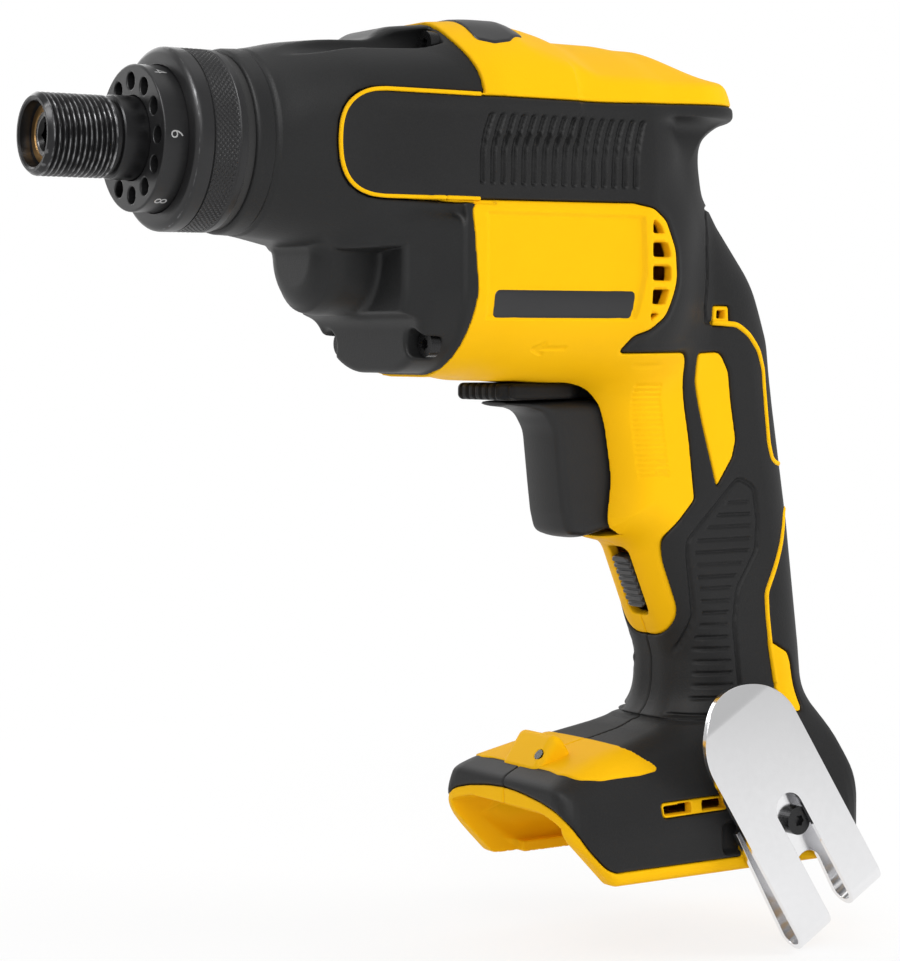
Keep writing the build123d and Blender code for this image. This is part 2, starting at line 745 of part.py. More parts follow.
with BuildPart() as framework:
    for screw_x, screw_z in SCREW_POINTS:
        add(cross_bar(screw_x, screw_z, -REACH, REACH, BOSS_OUTER))
    for screw_y, screw_z in (LOWER_SCREW, UPPER_SCREW):
        for side in (-1, 1):
            add(stud(side * screw_y, screw_z, SPLIT, SPLIT + CASE_SCREW_GRIP + 2, BOSS_OUTER))
    pivot_bridge = block(
        (SPLIT + LEVER_PIVOT - 5.0, SPLIT + LEVER_PIVOT + 5.0),
        (-HANDLE_HALF_WIDTH, HANDLE_HALF_WIDTH),
        (LEVER_TOP + SLIP, LEVER_TOP + LEVER_PIN_LENGTH + 1.2),
    )
    add(pivot_bridge)
    for rib_start in (STATOR_START + 2.0, STATOR_END - 2.0 - RIB):
        add(barrel_section(rib_start, rib_start + RIB, WALL - 1.0))
    add(rod(STATOR_START - 1, STATOR_END + 1, STATOR_RADIUS + SEAT, MOTOR_HEIGHT), mode=Mode.SUBTRACT)

with BuildPart() as bearing_rib:
    add(barrel_section(REAR_BEARING_START, REAR_BEARING_END, WALL - 1.0))
    add(
        rod(REAR_BEARING_START, REAR_BEARING_END, MOTOR_BEARING_RADIUS + RUN, MOTOR_HEIGHT),
        mode=Mode.SUBTRACT,
    )
    lead_pass = block(
        (REAR_BEARING_START, REAR_BEARING_END),
        (MOTOR_LEAD_ROW[0] - 2 * MOTOR_LEAD_RADIUS, MOTOR_LEAD_ROW[-1] + 2 * MOTOR_LEAD_RADIUS),
        (BARREL_BOTTOM, LEAD_HEIGHT + 2 * MOTOR_LEAD_RADIUS),
    )
    add(lead_pass, mode=Mode.SUBTRACT)

with BuildPart() as inside:
    add(framework.part)
    add(bearing_rib.part)
    add(body_solid(WALL - 1.0), mode=Mode.INTERSECT)

with BuildPart() as hook_pads:
    for side in (-1, 1):
        pad = sorted((side * (FOOT_HALF_WIDTH - 1), side * PAD_FACE))
        add(cross_bar(HOOK_SCREW_X, HOOK_SCREW_Z, pad[0], pad[1], HOOK_PAD_RADIUS))

# Battery bay with its two rails, and a window in its roof for the terminal block
with BuildPart() as bay:
    bay_x = (SPLIT, SPLIT + FOOT_FRONT + BAY_LENGTH)
    rail_gap = BAY_HALF_WIDTH - RAIL_LIP
    rail_top = FOOT_BOTTOM + RAIL_HEIGHT
    add(block(bay_x, (-BAY_HALF_WIDTH, BAY_HALF_WIDTH), (rail_top, BAY_ROOF)))
    add(block(bay_x, (-rail_gap, rail_gap), (FOOT_BOTTOM - 1, rail_top)))
    add(
        block(
            (SPLIT + TERMINAL_FRONT, SPLIT + TERMINAL_FRONT + TERMINAL_LENGTH),
            (-TERMINAL_HALF_WIDTH, TERMINAL_HALF_WIDTH),
            (BAY_ROOF - 1, BAY_ROOF + ROOF_THICKNESS + 1),
        )
    )

# Openings for the trigger, the reverse lever with its pin, and the lock slider
with BuildPart() as control_openings:
    add(
        block(
            (SPLIT + 30.0, TRIGGER_REAR + 4.0),
            (-TRIGGER_HALF_WIDTH - TRIGGER_PLAY, TRIGGER_HALF_WIDTH + TRIGGER_PLAY),
            (TRIGGER_BOTTOM - TRIGGER_PLAY, LEVER_TOP + SLIP),
        )
    )
    pin_end = LEVER_TOP + LEVER_PIN_LENGTH + SLIP
    add(post(SPLIT + LEVER_PIVOT, 0.0, LEVER_TOP - 1, pin_end, LEVER_PIN_RADIUS + RUN))
    with BuildSketch(SLIDER_PLANE.offset(-SLIDER_DEPTH)):
        with Locations((SLIDER_TRAVEL / 2, 0)):
            Rectangle(SLIDER_LENGTH + SLIDER_TRAVEL + 2 * SLIP, SLIDER_WIDTH + 2 * SLIP)
    extrude(amount=SLIDER_DEPTH + 6.0)

with BuildPart() as vents:
    for side in (-1, 1):
        with BuildSketch(Plane.XZ.offset(side * (BARREL_HALF_WIDTH + 1))):
            with Locations((SPLIT + VENT_X, VENT_MIDDLE)):
                with GridLocations(1, VENT_PITCH, 1, VENT_COUNT):
                    RectangleRounded(VENT_LENGTH, VENT_HEIGHT, 1.2)
        extrude(amount=-side * (WALL + 3.0))

# Bores of the hook inserts, the gearcase screws and the screws that join the halves
with BuildPart() as screw_bores:
    for side in (-1, 1):
        bore = sorted((side * (PAD_FACE - INSERT_LENGTH), side * (PAD_FACE + 1)))
        add(cross_bar(HOOK_SCREW_X, HOOK_SCREW_Z, bore[0], bore[1], INSERT_RADIUS))
    for screw_y, screw_z in (LOWER_SCREW, UPPER_SCREW):
        for side in (-1, 1):
            thread_end = SPLIT + CASE_SCREW_GRIP + 1
            add(stud(side * screw_y, screw_z, SPLIT - 1, thread_end, CASE_SCREW_RADIUS + RUN))
    for screw_x, screw_z in SCREW_POINTS:
        bore_end = -BOSS_SCREW_REACH - SLIP
        add(cross_bar(screw_x, screw_z, bore_end, BOSS_SCREW_REACH + 1, BOSS_SCREW_RADIUS + RUN))
        add(cross_bar(screw_x, screw_z, BOSS_SCREW_REACH, REACH, BOSS_SCREW_HEAD + SLIP))

with BuildPart() as housing:
    add(SKIN)
    front_space = block((0, SPLIT), (-REACH, REACH), (-300, REACH))
    add([hollow.part, front_space], mode=Mode.SUBTRACT)
    add([inside.part, lobes.part, hook_pads.part])
    cuts = [rubber_skin, bay, control_openings, vents, screw_bores]
    add([cut.part for cut in cuts], mode=Mode.SUBTRACT)

with BuildPart() as left_housing:
    add(housing.part)
    split(bisect_by=Plane.XZ, keep=Keep.TOP)

with BuildPart() as right_housing:
    add(housing.part)
    split(bisect_by=Plane.XZ, keep=Keep.BOTTOM)

with BuildPart() as housing_screws:
    for screw_x, screw_z in SCREW_POINTS:
        add(cross_bar(screw_x, screw_z, -BOSS_SCREW_REACH, BOSS_SCREW_REACH, BOSS_SCREW_RADIUS))
        head_top = BOSS_SCREW_REACH + BOSS_SCREW_HEAD_HEIGHT
        add(cross_bar(screw_x, screw_z, BOSS_SCREW_REACH, head_top, BOSS_SCREW_HEAD))
        with BuildSketch(Plane.XZ.offset(-head_top)):
            with Locations((screw_x, screw_z)):
                RegularPolygon(BOSS_SCREW_SOCKET, 6)
        extrude(amount=BOSS_SCREW_SOCKET, mode=Mode.SUBTRACT)

# Gearcase casting
with BuildPart() as gearcase:
    add(upper_solid(0.0))
    add(block((0, SPLIT), (-REACH, REACH), (-REACH, REACH)), mode=Mode.INTERSECT)
    add(rod(RING_FRONT, RING_REAR + 0.5, RING_RADIUS))
    add(rod(SNOUT_FRONT, RING_FRONT + 1, SNOUT_RADIUS))
    add(barrel_section(FLANGE_FRONT, SPLIT, 0.0))
    add(
        turned(
            [
                (BOSS_FRONT, 0),
                (BOSS_FRONT, BOSS_RADIUS - BOSS_ROUND),
                (BOSS_FRONT + 0.3 * BOSS_ROUND, BOSS_RADIUS - 0.3 * BOSS_ROUND),
                (BOSS_FRONT + BOSS_ROUND, BOSS_RADIUS),
                (BOSS_FRONT + BOSS_ROUND + 3.0, BOSS_RADIUS),
                (SPLIT - 9.0, BARREL_HALF_WIDTH - 1.5),
                (SPLIT - 9.0, 0),
            ],
            MOTOR_HEIGHT,
        )
    )

with BuildPart() as lobe_pocket:
    add(lobe_prism(SLIP))
    add(
        block((0, SPLIT + 5), (-LOBE_INNER + SLIP, LOBE_INNER - SLIP), (-REACH, REACH)),
        mode=Mode.SUBTRACT,
    )

with BuildPart() as gearcase_hollow:
    add(rod(SNOUT_FRONT - 1, RING_REAR + 4, SNOUT_BORE))
    add(rod(RING_REAR + 3, GEAR_FRONT - 2, CLUTCH_CAVITY_RADIUS))
    add(rod(GEAR_FRONT - 3, SPLIT + 1, GEAR_CAVITY_RADIUS))
    pinion_space = GEAR_MODULE * (PINION_TEETH / 2 + 0.9) + GEAR_CLEARANCE
    add(rod(PINION_FRONT - 0.5, SPLIT + 1, pinion_space, MOTOR_HEIGHT))
    add(rod(PLATE_FRONT, SPLIT + 1, MOTOR_BEARING_RADIUS + 5.0, MOTOR_HEIGHT))
    add(rod(PINION_BUSH_FRONT, PINION_FRONT, PINION_BUSH_RADIUS, MOTOR_HEIGHT))
    slot_end = NUT_FRONT + NUT_LENGTH + NUT_TRAVEL + SLIP
    add(
        block(
            (NUT_FRONT - SLIP, slot_end),
            (-NUT_LUG_WIDTH / 2 - SLIP, NUT_LUG_WIDTH / 2 + SLIP),
            (-SNOUT_RADIUS - 0.05, SNOUT_RADIUS + 0.05),
        )
    )

with BuildPart() as gearcase_cut:
    add(gearcase.part)
    add(lobe_pocket.part, mode=Mode.SUBTRACT)
    add(gearcase_hollow.part, mode=Mode.SUBTRACT)
    for (screw_y, screw_z), sink in ((LOWER_SCREW, LOWER_SCREW_SINK), (UPPER_SCREW, UPPER_SCREW_SINK)):
        for side in (-1, 1):
            open_front = SPLIT - CASE_SCREW_ACCESS
            recess = stud(side * screw_y, screw_z, open_front, SPLIT - sink, CASE_SCREW_HEAD + 2 * SLIP)
            bore = stud(side * screw_y, screw_z, open_front, SPLIT + 1, CASE_SCREW_RADIUS + RUN)
            add([recess, bore], mode=Mode.SUBTRACT)

with BuildPart() as gearcase_screws:
    for (screw_y, screw_z), sink in ((LOWER_SCREW, LOWER_SCREW_SINK), (UPPER_SCREW, UPPER_SCREW_SINK)):
        for side in (-1, 1):
            under_head = SPLIT - sink
            head_front = under_head - CASE_SCREW_HEAD_HEIGHT
            tip = SPLIT + CASE_SCREW_GRIP
            add(stud(side * screw_y, screw_z, under_head, tip, CASE_SCREW_RADIUS))
            add(stud(side * screw_y, screw_z, head_front, under_head, CASE_SCREW_HEAD))
            with BuildSketch(Plane.YZ.offset(head_front)):
                with Locations((side * screw_y, screw_z)):
                    RegularPolygon(CASE_SCREW_SOCKET, 6)
            extrude(amount=CASE_SCREW_SOCKET, mode=Mode.SUBTRACT)

# Nose, dial and setting collar
with BuildPart() as nose_sleeve:
    add(
        turned(
            [
                (0, MOUTH_RADIUS),
                (0, THREAD_RADIUS),
                (THREAD_LENGTH, THREAD_RADIUS),
                (THREAD_LENGTH, RELIEF_RADIUS),
                (THREAD_LENGTH + RELIEF_LENGTH, RELIEF_RADIUS),
                (THREAD_LENGTH + RELIEF_LENGTH, NECK_RADIUS),
                (SNOUT_FRONT, NECK_RADIUS),
                (SNOUT_FRONT, NOSE_FLANGE_RADIUS),
                (SNOUT_FRONT + NOSE_FLANGE_DEPTH, NOSE_FLANGE_RADIUS),
                (SNOUT_FRONT + NOSE_FLANGE_DEPTH, BUSH_RADIUS),
                (MOUTH_DEPTH, BUSH_RADIUS),
            ]
        )
    )

with BuildPart() as nose_bush:
    add(tube(MOUTH_DEPTH, MOUTH_DEPTH + BUSH_LENGTH, BUSH_RADIUS, SPINDLE_RADIUS + RUN))

with BuildPart() as spindle_needle_bearing:
    needle_end = SNOUT_FRONT + NOSE_FLANGE_DEPTH
    add(tube(needle_end - NEEDLE_LENGTH, needle_end, BUSH_RADIUS, SPINDLE_RADIUS + RUN))

with BuildPart() as dial_plate:
    add(
        turned(
            [
                (DIAL_FRONT, NECK_RADIUS + RUN),
                (DIAL_FRONT, DIAL_RADIUS),
                (DIAL_FLANGE_FRONT, DIAL_RADIUS),
                (DIAL_FLANGE_FRONT, DIAL_RADIUS + DIAL_FLANGE_STEP),
                (SNOUT_FRONT - SEAT / 2, DIAL_RADIUS + DIAL_FLANGE_STEP),
                (SNOUT_FRONT - SEAT / 2, NECK_RADIUS + RUN),
            ]
        )
    )
    with BuildSketch(Plane.YZ.offset(DIAL_FRONT)):
        with PolarLocations(DIAL_HOLE_CIRCLE, DIAL_HOLES):
            Circle(DIAL_HOLE_RADIUS)
    extrude(amount=DIAL_HOLE_DEPTH, mode=Mode.SUBTRACT)

with BuildPart() as clutch_collar:
    lip_bore = DIAL_RADIUS + 0.2
    counterbore = DIAL_RADIUS + DIAL_FLANGE_STEP + SLIP
    counterbore_end = SNOUT_FRONT + SEAT
    add(
        turned(
            [
                (COLLAR_FRONT, lip_bore),
                (COLLAR_FRONT, COLLAR_RADIUS - COLLAR_EDGE),
                (COLLAR_FRONT + COLLAR_EDGE, COLLAR_RADIUS),
                (COLLAR_REAR, COLLAR_RADIUS),
                (COLLAR_REAR, SNOUT_RADIUS + SEAT),
                (counterbore_end, SNOUT_RADIUS + SEAT),
                (counterbore_end, counterbore),
                (COLLAR_FRONT + COLLAR_LIP, counterbore),
                (COLLAR_FRONT + COLLAR_LIP, lip_bore),
            ]
        )
    )

with BuildPart() as collar_seal:
    add(tube(COLLAR_REAR + SEAT, RING_FRONT, SEAL_RADIUS, SNOUT_RADIUS))

# Clutch
with BuildPart() as clutch_nut:
    add(tube(NUT_FRONT, NUT_FRONT + NUT_LENGTH, SNOUT_BORE - SLIP, NUT_BORE))
    for side in (-1, 1):
        lug = sorted((side * (SNOUT_BORE - 2.0), side * (SNOUT_RADIUS - 0.1)))
        add(
            block(
                (NUT_FRONT, NUT_FRONT + NUT_LENGTH),
                (-NUT_LUG_WIDTH / 2, NUT_LUG_WIDTH / 2),
                lug,
            )
        )

with BuildPart() as clutch_spring:
    add(
        coil(
            NUT_FRONT + NUT_LENGTH + SEAT, PRESSURE_FRONT - SEAT,
            CLUTCH_COIL_RADIUS, CLUTCH_WIRE_RADIUS, CLUTCH_TURNS, 0.0,
        )
    )

with BuildPart() as pressure_plate:
    add(tube(PRESSURE_FRONT, PRESSURE_REAR, PRESSURE_RADIUS, PLATE_BORE))

with BuildPart() as ball_cage:
    cage_front = PRESSURE_REAR + BALL_RADIUS - CAGE_DEPTH / 2
    add(tube(cage_front, cage_front + CAGE_DEPTH, PRESSURE_RADIUS, PLATE_BORE))
    with BuildSketch(Plane.YZ.offset(cage_front)):
        with PolarLocations(BALL_CIRCLE, BALL_COUNT):
            Circle(BALL_RADIUS + RUN)
    extrude(amount=CAGE_DEPTH, mode=Mode.SUBTRACT)

with BuildPart() as clutch_balls:
    with Locations(Plane.YZ.offset(PRESSURE_REAR + BALL_RADIUS)):
        with PolarLocations(BALL_CIRCLE, BALL_COUNT):
            Sphere(BALL_RADIUS - RUN)

def dog_teeth(start, first_angle):
    """Square dog teeth round the spindle axis, the first one at an angle."""
    with BuildPart() as piece:
        with BuildSketch(Plane.YZ.offset(start)):
            with PolarLocations((DOG_RADIUS + DOG_BORE) / 2, DOG_COUNT, start_angle=first_angle):
                Rectangle(2 * (DOG_RADIUS - DOG_BORE), DOG_WIDTH)
            Circle(DOG_RADIUS, mode=Mode.INTERSECT)
            Circle(DOG_BORE, mode=Mode.SUBTRACT)
        extrude(amount=DOG_HEIGHT)
    return piece.part


# Spindle and drive shaft, joined by dogs when the bit is pressed
with BuildPart() as spindle:
    add(
        turned(
            [
                (SPINDLE_RECESS, 0),
                (SPINDLE_RECESS, SPINDLE_RADIUS),
                (SPINDLE_REAR - DOG_PLATE, SPINDLE_RADIUS),
                (SPINDLE_REAR - DOG_PLATE, DOG_RADIUS),
                (SPINDLE_REAR, DOG_RADIUS),
                (SPINDLE_REAR, PILOT_RADIUS + RUN),
                (SPINDLE_REAR - PILOT_BORE_DEPTH, PILOT_RADIUS + RUN),
                (SPINDLE_REAR - PILOT_BORE_DEPTH, 0),
            ]
        )
    )
    with BuildSketch(Plane.YZ.offset(SPINDLE_RECESS)):
        RegularPolygon(SOCKET_FLATS / 2, 6, major_radius=False)
    extrude(amount=SOCKET_DEPTH, mode=Mode.SUBTRACT)
    add(
        turned(
            [
                (SPINDLE_RECESS, 0),
                (SPINDLE_RECESS, SOCKET_MOUTH_RADIUS),
                (SPINDLE_RECESS + SOCKET_MOUTH_DEPTH, SOCKET_FLATS / 2),
                (SPINDLE_RECESS + SOCKET_MOUTH_DEPTH, 0),
            ]
        ),
        mode=Mode.SUBTRACT,
    )
    add(dog_teeth(SPINDLE_REAR, 0.0))

with BuildPart() as bit_magnet:
    magnet_end = SPINDLE_RECESS + SOCKET_DEPTH
    add(rod(magnet_end - MAGNET_LENGTH, magnet_end, SOCKET_FLATS / 2 - RUN))

with BuildPart() as drive_shaft:
    add(
        turned(
            [
                (DOG_FACE - PILOT_LENGTH, 0),
                (DOG_FACE - PILOT_LENGTH, PILOT_RADIUS),
                (DOG_FACE, PILOT_RADIUS),
                (DOG_FACE, DOG_RADIUS),
                (DOG_FACE + DOG_PLATE, DOG_RADIUS),
                (DOG_FACE + DOG_PLATE, DRIVE_SHAFT_RADIUS),
                (PLATE_FRONT + SPINDLE_BEARING_LENGTH, DRIVE_SHAFT_RADIUS),
                (PLATE_FRONT + SPINDLE_BEARING_LENGTH, 0),
            ]
        )
    )
    add(dog_teeth(DOG_FACE - DOG_HEIGHT, 180.0 / DOG_COUNT))

with BuildPart() as spindle_return_spring:
    add(
        coil(
            SPINDLE_REAR - PILOT_BORE_DEPTH + SEAT, DOG_FACE - PILOT_LENGTH - SEAT,
            PILOT_RADIUS - 3 * RETURN_WIRE_RADIUS, RETURN_WIRE_RADIUS, RETURN_TURNS, 0.0,
        )
    )

# Gear pair, bearing plate and bearings
with BuildPart() as drive_gear:
    with BuildSketch(Plane.YZ.offset(GEAR_FRONT)):
        with BuildLine():
            Polyline(*gear_outline(GEAR_TEETH, 0.8, -math.pi / 2), close=True)
        make_face()
        Circle(DRIVE_SHAFT_RADIUS, mode=Mode.SUBTRACT)
    extrude(amount=GEAR_WIDTH)

with BuildPart() as pinion:
    with BuildSketch(Plane(origin=(PINION_FRONT, 0, MOTOR_HEIGHT), x_dir=(0, 1, 0), z_dir=(1, 0, 0))):
        with BuildLine():
            half_pitch = math.pi / PINION_TEETH
            Polyline(*gear_outline(PINION_TEETH, 0.9, math.pi / 2 + half_pitch), close=True)
        make_face()
        Circle(MOTOR_SHAFT_RADIUS, mode=Mode.SUBTRACT)
    extrude(amount=PINION_WIDTH)

with BuildPart() as bearing_plate:
    add(rod(PLATE_FRONT, SPLIT, GEAR_CAVITY_RADIUS - SEAT))
    add(rod(PLATE_FRONT, SPLIT, MOTOR_BEARING_RADIUS + 5.0 - SEAT, MOTOR_HEIGHT))
    add(rod(PLATE_FRONT - 1, SPLIT + 1, SPINDLE_BEARING_RADIUS), mode=Mode.SUBTRACT)
    add(rod(PLATE_FRONT - 1, SPLIT + 1, MOTOR_BEARING_RADIUS, MOTOR_HEIGHT), mode=Mode.SUBTRACT)


def bearing(start, length, outer, bore, height):
    """A sealed ball bearing as two races with the shield between them."""
    step = (outer - bore) * 0.3
    return turned(
        [
            (start, bore),
            (start, bore + step),
            (start + 0.4, bore + step),
            (start + 0.4, outer - step),
            (start, outer - step),
            (start, outer),
            (start + length, outer),
            (start + length, outer - step),
            (start + length - 0.4, outer - step),
            (start + length - 0.4, bore + step),
            (start + length, bore + step),
            (start + length, bore),
        ],
        height,
    )


with BuildPart() as spindle_bearing:
    add(
        bearing(
            PLATE_FRONT, SPINDLE_BEARING_LENGTH, SPINDLE_BEARING_RADIUS, DRIVE_SHAFT_RADIUS + RUN, 0.0
        )
    )

with BuildPart() as motor_front_bearing:
    add(
        bearing(
            PLATE_FRONT + 0.5, MOTOR_BEARING_LENGTH, MOTOR_BEARING_RADIUS,
            MOTOR_SHAFT_RADIUS + RUN, MOTOR_HEIGHT,
        )
    )

with BuildPart() as motor_rear_bearing:
    add(
        bearing(
            REAR_BEARING_START, MOTOR_BEARING_LENGTH, MOTOR_BEARING_RADIUS,
            MOTOR_SHAFT_RADIUS + RUN, MOTOR_HEIGHT,
        )
    )

with BuildPart() as pinion_bush:
    add(
        tube(
            PINION_BUSH_FRONT, PINION_BUSH_REAR, PINION_BUSH_RADIUS,
            MOTOR_SHAFT_RADIUS + RUN, MOTOR_HEIGHT,
        )
    )

# Motor
with BuildPart() as motor_shaft:
    add(rod(PINION_BUSH_FRONT + 0.5, REAR_BEARING_END, MOTOR_SHAFT_RADIUS, MOTOR_HEIGHT))

with BuildPart() as rotor_core:
    add(tube(STATOR_START, STATOR_END, ROTOR_RADIUS, MOTOR_SHAFT_RADIUS, MOTOR_HEIGHT))

STATOR_BORE = ROTOR_RADIUS + AIR_GAP
YOKE_BORE = STATOR_RADIUS - STATOR_YOKE
MOTOR_PLANE = Plane(origin=(STATOR_START, 0, MOTOR_HEIGHT), x_dir=(0, 1, 0), z_dir=(1, 0, 0))

with BuildPart() as stator_core:
    with BuildSketch(MOTOR_PLANE):
        Circle(STATOR_RADIUS)
        Circle(YOKE_BORE, mode=Mode.SUBTRACT)
        with PolarLocations((STATOR_BORE + YOKE_BORE) / 2 + 0.5, STATOR_TEETH):
            Rectangle(YOKE_BORE - STATOR_BORE + 1.5, STATOR_TOOTH_WIDTH)
        Circle(STATOR_BORE, mode=Mode.SUBTRACT)
    extrude(amount=STATOR_LENGTH)

with BuildPart() as stator_windings:
    coil_inner = STATOR_BORE + 1.2
    coil_half = STATOR_TOOTH_WIDTH / 2 + COIL_WALL
    coil_depth = math.sqrt(YOKE_BORE**2 - coil_half**2) - coil_inner - SLIP
    with BuildSketch(MOTOR_PLANE.offset(-COIL_OVERHANG)):
        with PolarLocations(coil_inner + coil_depth / 2, STATOR_TEETH):
            Rectangle(coil_depth, 2 * coil_half)
    extrude(amount=STATOR_LENGTH + 2 * COIL_OVERHANG)
    with BuildSketch(MOTOR_PLANE.offset(-SEAT)):
        with PolarLocations((STATOR_BORE + YOKE_BORE) / 2, STATOR_TEETH):
            Rectangle(YOKE_BORE - STATOR_BORE + 4.0, STATOR_TOOTH_WIDTH + 2 * SEAT)
    extrude(amount=STATOR_LENGTH + 2 * SEAT, mode=Mode.SUBTRACT)

with BuildPart() as hall_board:
    add(tube(HALL_START, HALL_START + HALL_THICKNESS, HALL_RADIUS, HALL_BORE, MOTOR_HEIGHT))
    with BuildSketch(MOTOR_PLANE.offset(STATOR_LENGTH)):
        with PolarLocations(HALL_POST_CIRCLE, 2):
            Circle(HALL_POST_RADIUS)
    extrude(amount=COIL_OVERHANG + HALL_GAP)

with BuildPart() as motor_fan:
    add(tube(FAN_START, FAN_START + FAN_DISC, FAN_RADIUS, MOTOR_SHAFT_RADIUS, MOTOR_HEIGHT))
    add(tube(FAN_START, FAN_END, FAN_HUB_RADIUS, MOTOR_SHAFT_RADIUS, MOTOR_HEIGHT))
    with BuildSketch(Plane(origin=(FAN_START, 0, MOTOR_HEIGHT), x_dir=(0, 1, 0), z_dir=(1, 0, 0))):
        with PolarLocations((FAN_HUB_RADIUS + FAN_RADIUS) / 2 - 0.6, FAN_BLADES):
            Rectangle(FAN_RADIUS - FAN_HUB_RADIUS, 1.4)
    extrude(amount=FAN_LENGTH)

# Trigger and switch
with BuildPart() as trigger:
    with BuildSketch(Plane.XZ):
        with BuildLine():
            Polyline(
                (SPLIT + 61.0, TRIGGER_BOTTOM + 1.0),
                (TRIGGER_REAR, TRIGGER_BOTTOM + 6.0),
                (TRIGGER_REAR, TRIGGER_TOP),
                (SPLIT + 28.0, TRIGGER_TOP),
                (SPLIT + 28.8, TRIGGER_TOP - 1.4),
                (SPLIT + 36.0, TRIGGER_TOP - 2.4),
            )
            ThreePointArc(
                (SPLIT + 36.0, TRIGGER_TOP - 2.4),
                (SPLIT + 42.6, TRIGGER_TOP - 9.0),
                (SPLIT + 44.6, TRIGGER_TOP - 20.0),
            )
            Line((SPLIT + 44.6, TRIGGER_TOP - 20.0), (SPLIT + 46.6, TRIGGER_BOTTOM + 5.0))
            ThreePointArc(
                (SPLIT + 46.6, TRIGGER_BOTTOM + 5.0),
                (SPLIT + 48.8, TRIGGER_BOTTOM + 0.6),
                (SPLIT + 53.0, TRIGGER_BOTTOM),
            )
            Line((SPLIT + 53.0, TRIGGER_BOTTOM), (SPLIT + 61.0, TRIGGER_BOTTOM + 1.0))
        make_face()
    extrude(amount=TRIGGER_HALF_WIDTH, both=True)
    add(
        rod(
            TRIGGER_REAR - SPRING_POCKET_DEPTH, TRIGGER_REAR + 1, SPRING_POCKET_RADIUS, SPRING_HEIGHT
        ),
        mode=Mode.SUBTRACT,
    )

with BuildPart() as trigger_spring:
    add(
        coil(
            TRIGGER_REAR - SPRING_POCKET_DEPTH + SEAT, SWITCH_FRONT - SEAT,
            TRIGGER_COIL_RADIUS, TRIGGER_WIRE_RADIUS, TRIGGER_TURNS, SPRING_HEIGHT,
        )
    )

with BuildPart() as switch_module:
    add(
        block(
            (SWITCH_FRONT, SWITCH_FRONT + SWITCH_LENGTH),
            (-SWITCH_HALF_WIDTH, SWITCH_HALF_WIDTH),
            (SWITCH_BOTTOM, SWITCH_TOP),
        )
    )
    fillet(switch_module.edges().filter_by(Axis.X), radius=1.5)

# Reverse lever: a flat arm on an upright pin, with a broad thumb pad at its front
with BuildPart() as reverse_lever:
    pivot_x = SPLIT + LEVER_PIVOT
    with BuildSketch(Plane.XY.offset(LEVER_BOTTOM)):
        with BuildLine():
            Polyline(
                (pivot_x + 6.0, -4.0),
                (pivot_x + 6.0, 4.0),
                (SPLIT + 48.0, 4.0),
                (SPLIT + 34.0, 12.0),
                (SPLIT + 26.0, 13.5),
                (SPLIT + 22.4, 10.5),
                (SPLIT + 22.4, -10.5),
                (SPLIT + 26.0, -13.5),
                (SPLIT + 34.0, -12.0),
                (SPLIT + 48.0, -4.0),
                close=True,
            )
        make_face()
    extrude(amount=LEVER_TOP - LEVER_BOTTOM)
    add(post(pivot_x, 0.0, LEVER_TOP - 1, LEVER_TOP + LEVER_PIN_LENGTH, LEVER_PIN_RADIUS))

with BuildPart() as lock_slider:
    with BuildSketch(SLIDER_PLANE.offset(-SLIDER_DEPTH)):
        RectangleRounded(SLIDER_LENGTH, SLIDER_WIDTH, 1.5)
    extrude(amount=SLIDER_DEPTH + SLIDER_PROUD)
    with BuildSketch(SLIDER_PLANE.offset(-SLIDER_DEPTH - SLIDER_FLANGE)):
        Rectangle(SLIDER_LENGTH, SLIDER_WIDTH + 2 * SLIDER_FLANGE_STEP)
    extrude(amount=SLIDER_FLANGE)

# Electronics in the handle and the foot
with BuildPart() as control_module:
    roof_top = BAY_ROOF + ROOF_THICKNESS
    add(
        block(
            (SPLIT + CONTROL_FRONT, SPLIT + CONTROL_FRONT + CONTROL_LENGTH),
            (-CONTROL_HALF_WIDTH, CONTROL_HALF_WIDTH),
            (roof_top + SEAT, roof_top + SEAT + CONTROL_HEIGHT),
        )
    )
    fillet(control_module.edges().filter_by(Axis.Z), radius=2.0)

with BuildPart() as terminal_block:
    add(
        block(
            (SPLIT + TERMINAL_FRONT + SEAT, SPLIT + TERMINAL_FRONT + TERMINAL_LENGTH - SEAT),
            (-TERMINAL_HALF_WIDTH + SEAT, TERMINAL_HALF_WIDTH - SEAT),
            (BAY_ROOF, BAY_ROOF + TERMINAL_HEIGHT - 2.0),
        )
    )

with BuildPart() as battery_contacts:
    with BuildSketch(Plane.XY.offset(BAY_ROOF - 10.0)):
        with Locations((SPLIT + TERMINAL_FRONT + TERMINAL_LENGTH / 2, 0)):
            with GridLocations(1, CONTACT_PITCH, 1, CONTACT_COUNT):
                Rectangle(CONTACT_LENGTH, CONTACT_THICKNESS)
    extrude(amount=10.0)


def lead(route, radius, lead_y):
    """A wire along (x, z) points at a distance from the middle plane, with rounded bends."""
    points = [(x, lead_y, z) for x, z in route]
    with BuildPart() as piece:
        with BuildLine() as path:
            FilletPolyline(*points, radius=LEAD_BEND)
        with BuildSketch(Plane(origin=path.line @ 0, z_dir=path.line % 0)):
            Circle(radius)
        sweep()
    return piece.part


